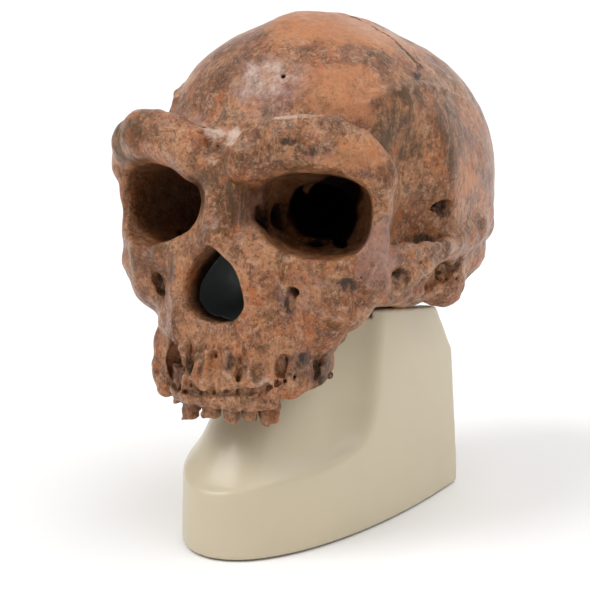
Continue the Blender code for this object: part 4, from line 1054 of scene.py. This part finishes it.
bowl = nasal_bowl()
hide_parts("nasal_backing")
bowl_look, _ = plain_material("cavity_paint", (0.018, 0.026, 0.026), (0.026, 0.036, 0.035), 0.46, 45, 0.00001)
paint(bowl, bowl_look)
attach(bowl, "cranium")


# Stand

STAND_LENGTH, STAND_HALF_WIDTH, STAND_BACK, STAND_WALL, STAND_TAPER = 151.74, 50.3, 44.0, 4.0, 0.095
TOP_HEIGHT, TOP_PLACE, TOP_SLOPE = 92.6, 28.4, math.radians(7.4)
BACK_BEND, BACK_LEAN = 68.5, math.radians(33.6)
TROUGH_HALF_WIDTH, TROUGH_FLOOR, TROUGH_FRONT = 36.0, -31.7, -70
PLATEAU_HEIGHT, PLATEAU_BACK = -47.2, -42.5
HOLLOW_TOP = 25.5
COLUMN_HALF_WIDTH, COLUMN_FRONT, COLUMN_BACK, COLUMN_TOP = 31.0, -18.0, 33.5, 76.0
RING_CENTRE, RING_POWER = -10.0, 2.4
RING_HEIGHTS = (0.8, 20.0, 27.6, 29.4, 32.4, 36.6, 41.8, 48.7, 57.6, 69.2, 80.2, 90.2, 106.0)
CORE_WIDTHS = (62.0, 60.0, 54.0, 49.8, 44.5, 39.7, 35.7, 32.7, 30.7, 29.5, 28.8, 28.5, 28.2)
CORE_REACHES = (104.0, 103.0, 100.0, 98.0, 93.8, 89.5, 85.1, 80.0, 73.0, 65.0, 57.5, 50.8, 45.5)
PANEL_REACHES = (150.0, 110.0, 74.0, 60.7, 50.0, 37.5, 27.8, 24.3, 20.9, 18.7, 16.7, 14.6, 12.4)


def steepness(f, value):
    g = np.gradient(value, f.step)
    return value / np.maximum(np.sqrt(g[0] ** 2 + g[1] ** 2 + g[2] ** 2), 0.05)


def stand_form():
    f = Field((-54, -112, -2), (54, 48, 104), STAND_STEP)
    x, y, z = f.grids()
    width, reach, panel_reach = (smooth_interp(z, RING_HEIGHTS, values)
                                 for values in (CORE_WIDTHS, CORE_REACHES, PANEL_REACHES))
    ahead = RING_CENTRE - y
    core = np.abs(x / width) ** RING_POWER + np.abs(np.maximum(ahead, 0) / reach) ** RING_POWER
    core = (core ** (1 / RING_POWER) - 1) * np.minimum(width, reach)
    scoop = steepness(f, smooth_min(core, ahead - panel_reach, 24.0))
    u = np.maximum((STAND_BACK - y) / STAND_LENGTH, 0)
    half = STAND_HALF_WIDTH * (1.0 - STAND_TAPER * np.clip((z - 8.0) / 70.0, 0, 1.3))
    foot = (u ** 2.30 + np.abs(x / half) ** 2.10) ** (1 / 2.2) - 1
    foot = steepness(f, foot * STAND_HALF_WIDTH)
    crisp, soft = smooth_max(scoop, foot, 1.5), smooth_max(scoop, foot, 4.0)
    body = crisp + (soft - crisp) * ramp(z, 24.0, 56.0)
    body = smooth_max(body, y - STAND_BACK, 1.5)
    # Top, sloping up to the front and dished across, and the slanting back
    top = (z - (TOP_HEIGHT - (y - TOP_PLACE) * math.tan(TOP_SLOPE))) * math.cos(TOP_SLOPE)
    top = top + 1.6 * np.exp(-(x / 26.0) ** 2) - 0.4
    back = (y - STAND_BACK) * math.cos(BACK_LEAN) + (z - BACK_BEND) * math.sin(BACK_LEAN)
    body = smooth_max(smooth_max(body, top, 1.5), back, 1.5)
    body = smooth_max(body, 0.8 - z, 0.8)
    # In the cranium's frame: the trough under the base and the plateau under the palate
    c, s = math.cos(TILT), math.sin(TILT)
    sy, sz = c * y - s * (z - EAR_HEIGHT), s * y + c * (z - EAR_HEIGHT)
    trough = np.maximum(np.maximum(np.abs(x) - TROUGH_HALF_WIDTH, TROUGH_FLOOR - sz), TROUGH_FRONT - sy)
    plateau = np.maximum(PLATEAU_HEIGHT - sz, sy - PLATEAU_BACK)
    body = smooth_max(body, -trough, 1.2)
    body = smooth_max(body, -plateau, 1.2)
    # Hollow inside, open below where the base plate closes it
    inner = np.maximum(np.maximum(foot + STAND_WALL, y - STAND_BACK + STAND_WALL), z - HOLLOW_TOP)
    column = np.maximum(np.maximum(COLUMN_FRONT - y, y - COLUMN_BACK), z - COLUMN_TOP)
    column = np.maximum(column, np.abs(x) - COLUMN_HALF_WIDTH)
    body = np.maximum(body, -np.minimum(inner, column))
    f.d = body.astype(np.float32)
    # Hole for the locating peg
    f.cut(limb([(0, 20.0, 84.0), (0, 20.0, 110.0)], [7.3, 7.3]), 0.4, side=None)
    return meshed("stand_moulding", f, stand_to_world)


stand = thinned(stand_form(), 90000)
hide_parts("stand_shell")
ivory, ivory_shader = plain_material(
    "ivory_moulding", (0.545, 0.465, 0.320), (0.575, 0.490, 0.345), 0.42, 18, 0.00005)
ivory_shader.inputs["Subsurface Weight"].default_value = 0.08
ivory_shader.inputs["Subsurface Radius"].default_value = (0.004, 0.003, 0.002)
ivory_shader.inputs["Coat Weight"].default_value = 0.30
ivory_shader.inputs["Coat Roughness"].default_value = 0.20
paint(stand, ivory)
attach(stand, "stand")


# Carried-over nodes get their own looks

LOOKS = {
    "base_plate": ("plate_moulding", (0.500, 0.420, 0.290), (0.540, 0.455, 0.320), 0.55, 40, 0.0001),
    "foot_pad": ("pad_rubber_black", (0.022, 0.022, 0.023), (0.034, 0.034, 0.034), 0.75, 90, 0.0001),
    "rest_pad": ("pad_silicone_beige", (0.430, 0.370, 0.260), (0.470, 0.400, 0.285), 0.60, 90, 0.0001),
    "base_screw": ("screw_steel_satin", (0.55, 0.55, 0.54), (0.62, 0.61, 0.60), 0.30, 200, 0.00003, 1.0)}
for start, values in LOOKS.items():
    look, _ = plain_material(*values)
    for node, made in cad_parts.items():
        if node.startswith(start):
            paint(made, look)
paint(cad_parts["locating_peg"], ivory)


# Camera, light and floor

AZIMUTH, ELEVATION, DISTANCE, FOCAL = 29.91, 10.49, 650.0, 82.4
AIM_LEFT, AIM_DOWN = 16.73, 26.51
az, el = math.radians(AZIMUTH), math.radians(ELEVATION)
back = Vector((math.sin(az) * math.cos(el), -math.cos(az) * math.cos(el), math.sin(el)))
right = Vector((math.cos(az), math.sin(az), 0.0))
up = back.cross(right)
aim = Vector((0, ALONG, EAR_HEIGHT)) - AIM_LEFT * right - AIM_DOWN * up
camera_data = bpy.data.cameras.new("photo_camera")
camera_data.lens = FOCAL
camera_data.sensor_width = 36.0
camera_data.clip_start = 0.05
camera = placed("photo_camera", camera_data)
camera.location = (aim + back * DISTANCE) * MM
camera.rotation_euler = Matrix((right, up, back)).transposed().to_euler()
bpy.context.scene.camera = camera


def soft_sun(name, direction, strength, spread):
    """A far, broad lamp, whose light falls evenly on the model and the floor."""
    data = bpy.data.lights.new(name, "SUN")
    data.energy = strength
    data.angle = math.radians(spread)
    made = placed(name, data)
    made.rotation_euler = (-Vector(direction)).to_track_quat("-Z", "Y").to_euler()


soft_sun("key_light", (-0.50, -0.62, 1.00), 1.35, 32)
soft_sun("top_light", (0.45, 0.10, 1.00), 1.25, 60)

world = bpy.data.worlds.new("studio")
world.use_nodes = True
world.node_tree.nodes["Background"].inputs["Color"].default_value = (1.0, 1.0, 1.0, 1.0)
world.node_tree.nodes["Background"].inputs["Strength"].default_value = 0.55
bpy.context.scene.world = world
bpy.context.scene.view_settings.view_transform = "Standard"


def floor():
    """A wide pale sheet that curves up far behind, so that no horizon shows."""
    near, far, bend, top, half_width, turns = -6.0, 3.0, 1.5, 7.0, 8.0, 12
    profile = [(near, 0.0), (far, 0.0)]
    for step in range(1, turns + 1):
        turn = step / turns * math.pi / 2
        profile.append((far + bend * math.sin(turn), bend - bend * math.cos(turn)))
    profile.append((far + bend, top))
    verts = [(across, along, height) for across in (-half_width, half_width) for along, height in profile]
    count = len(profile)
    faces = [(i, i + count, i + count + 1, i + 1) for i in range(count - 1)]
    mesh = bpy.data.meshes.new("studio_floor")
    mesh.from_pydata(verts, [], faces)
    mesh.shade_smooth()
    made = placed("studio_floor", mesh)
    look, _ = plain_material("floor_white", (0.90, 0.90, 0.90), (0.92, 0.92, 0.92), 0.85, 2, 0.00001)
    paint(made, look)


floor()
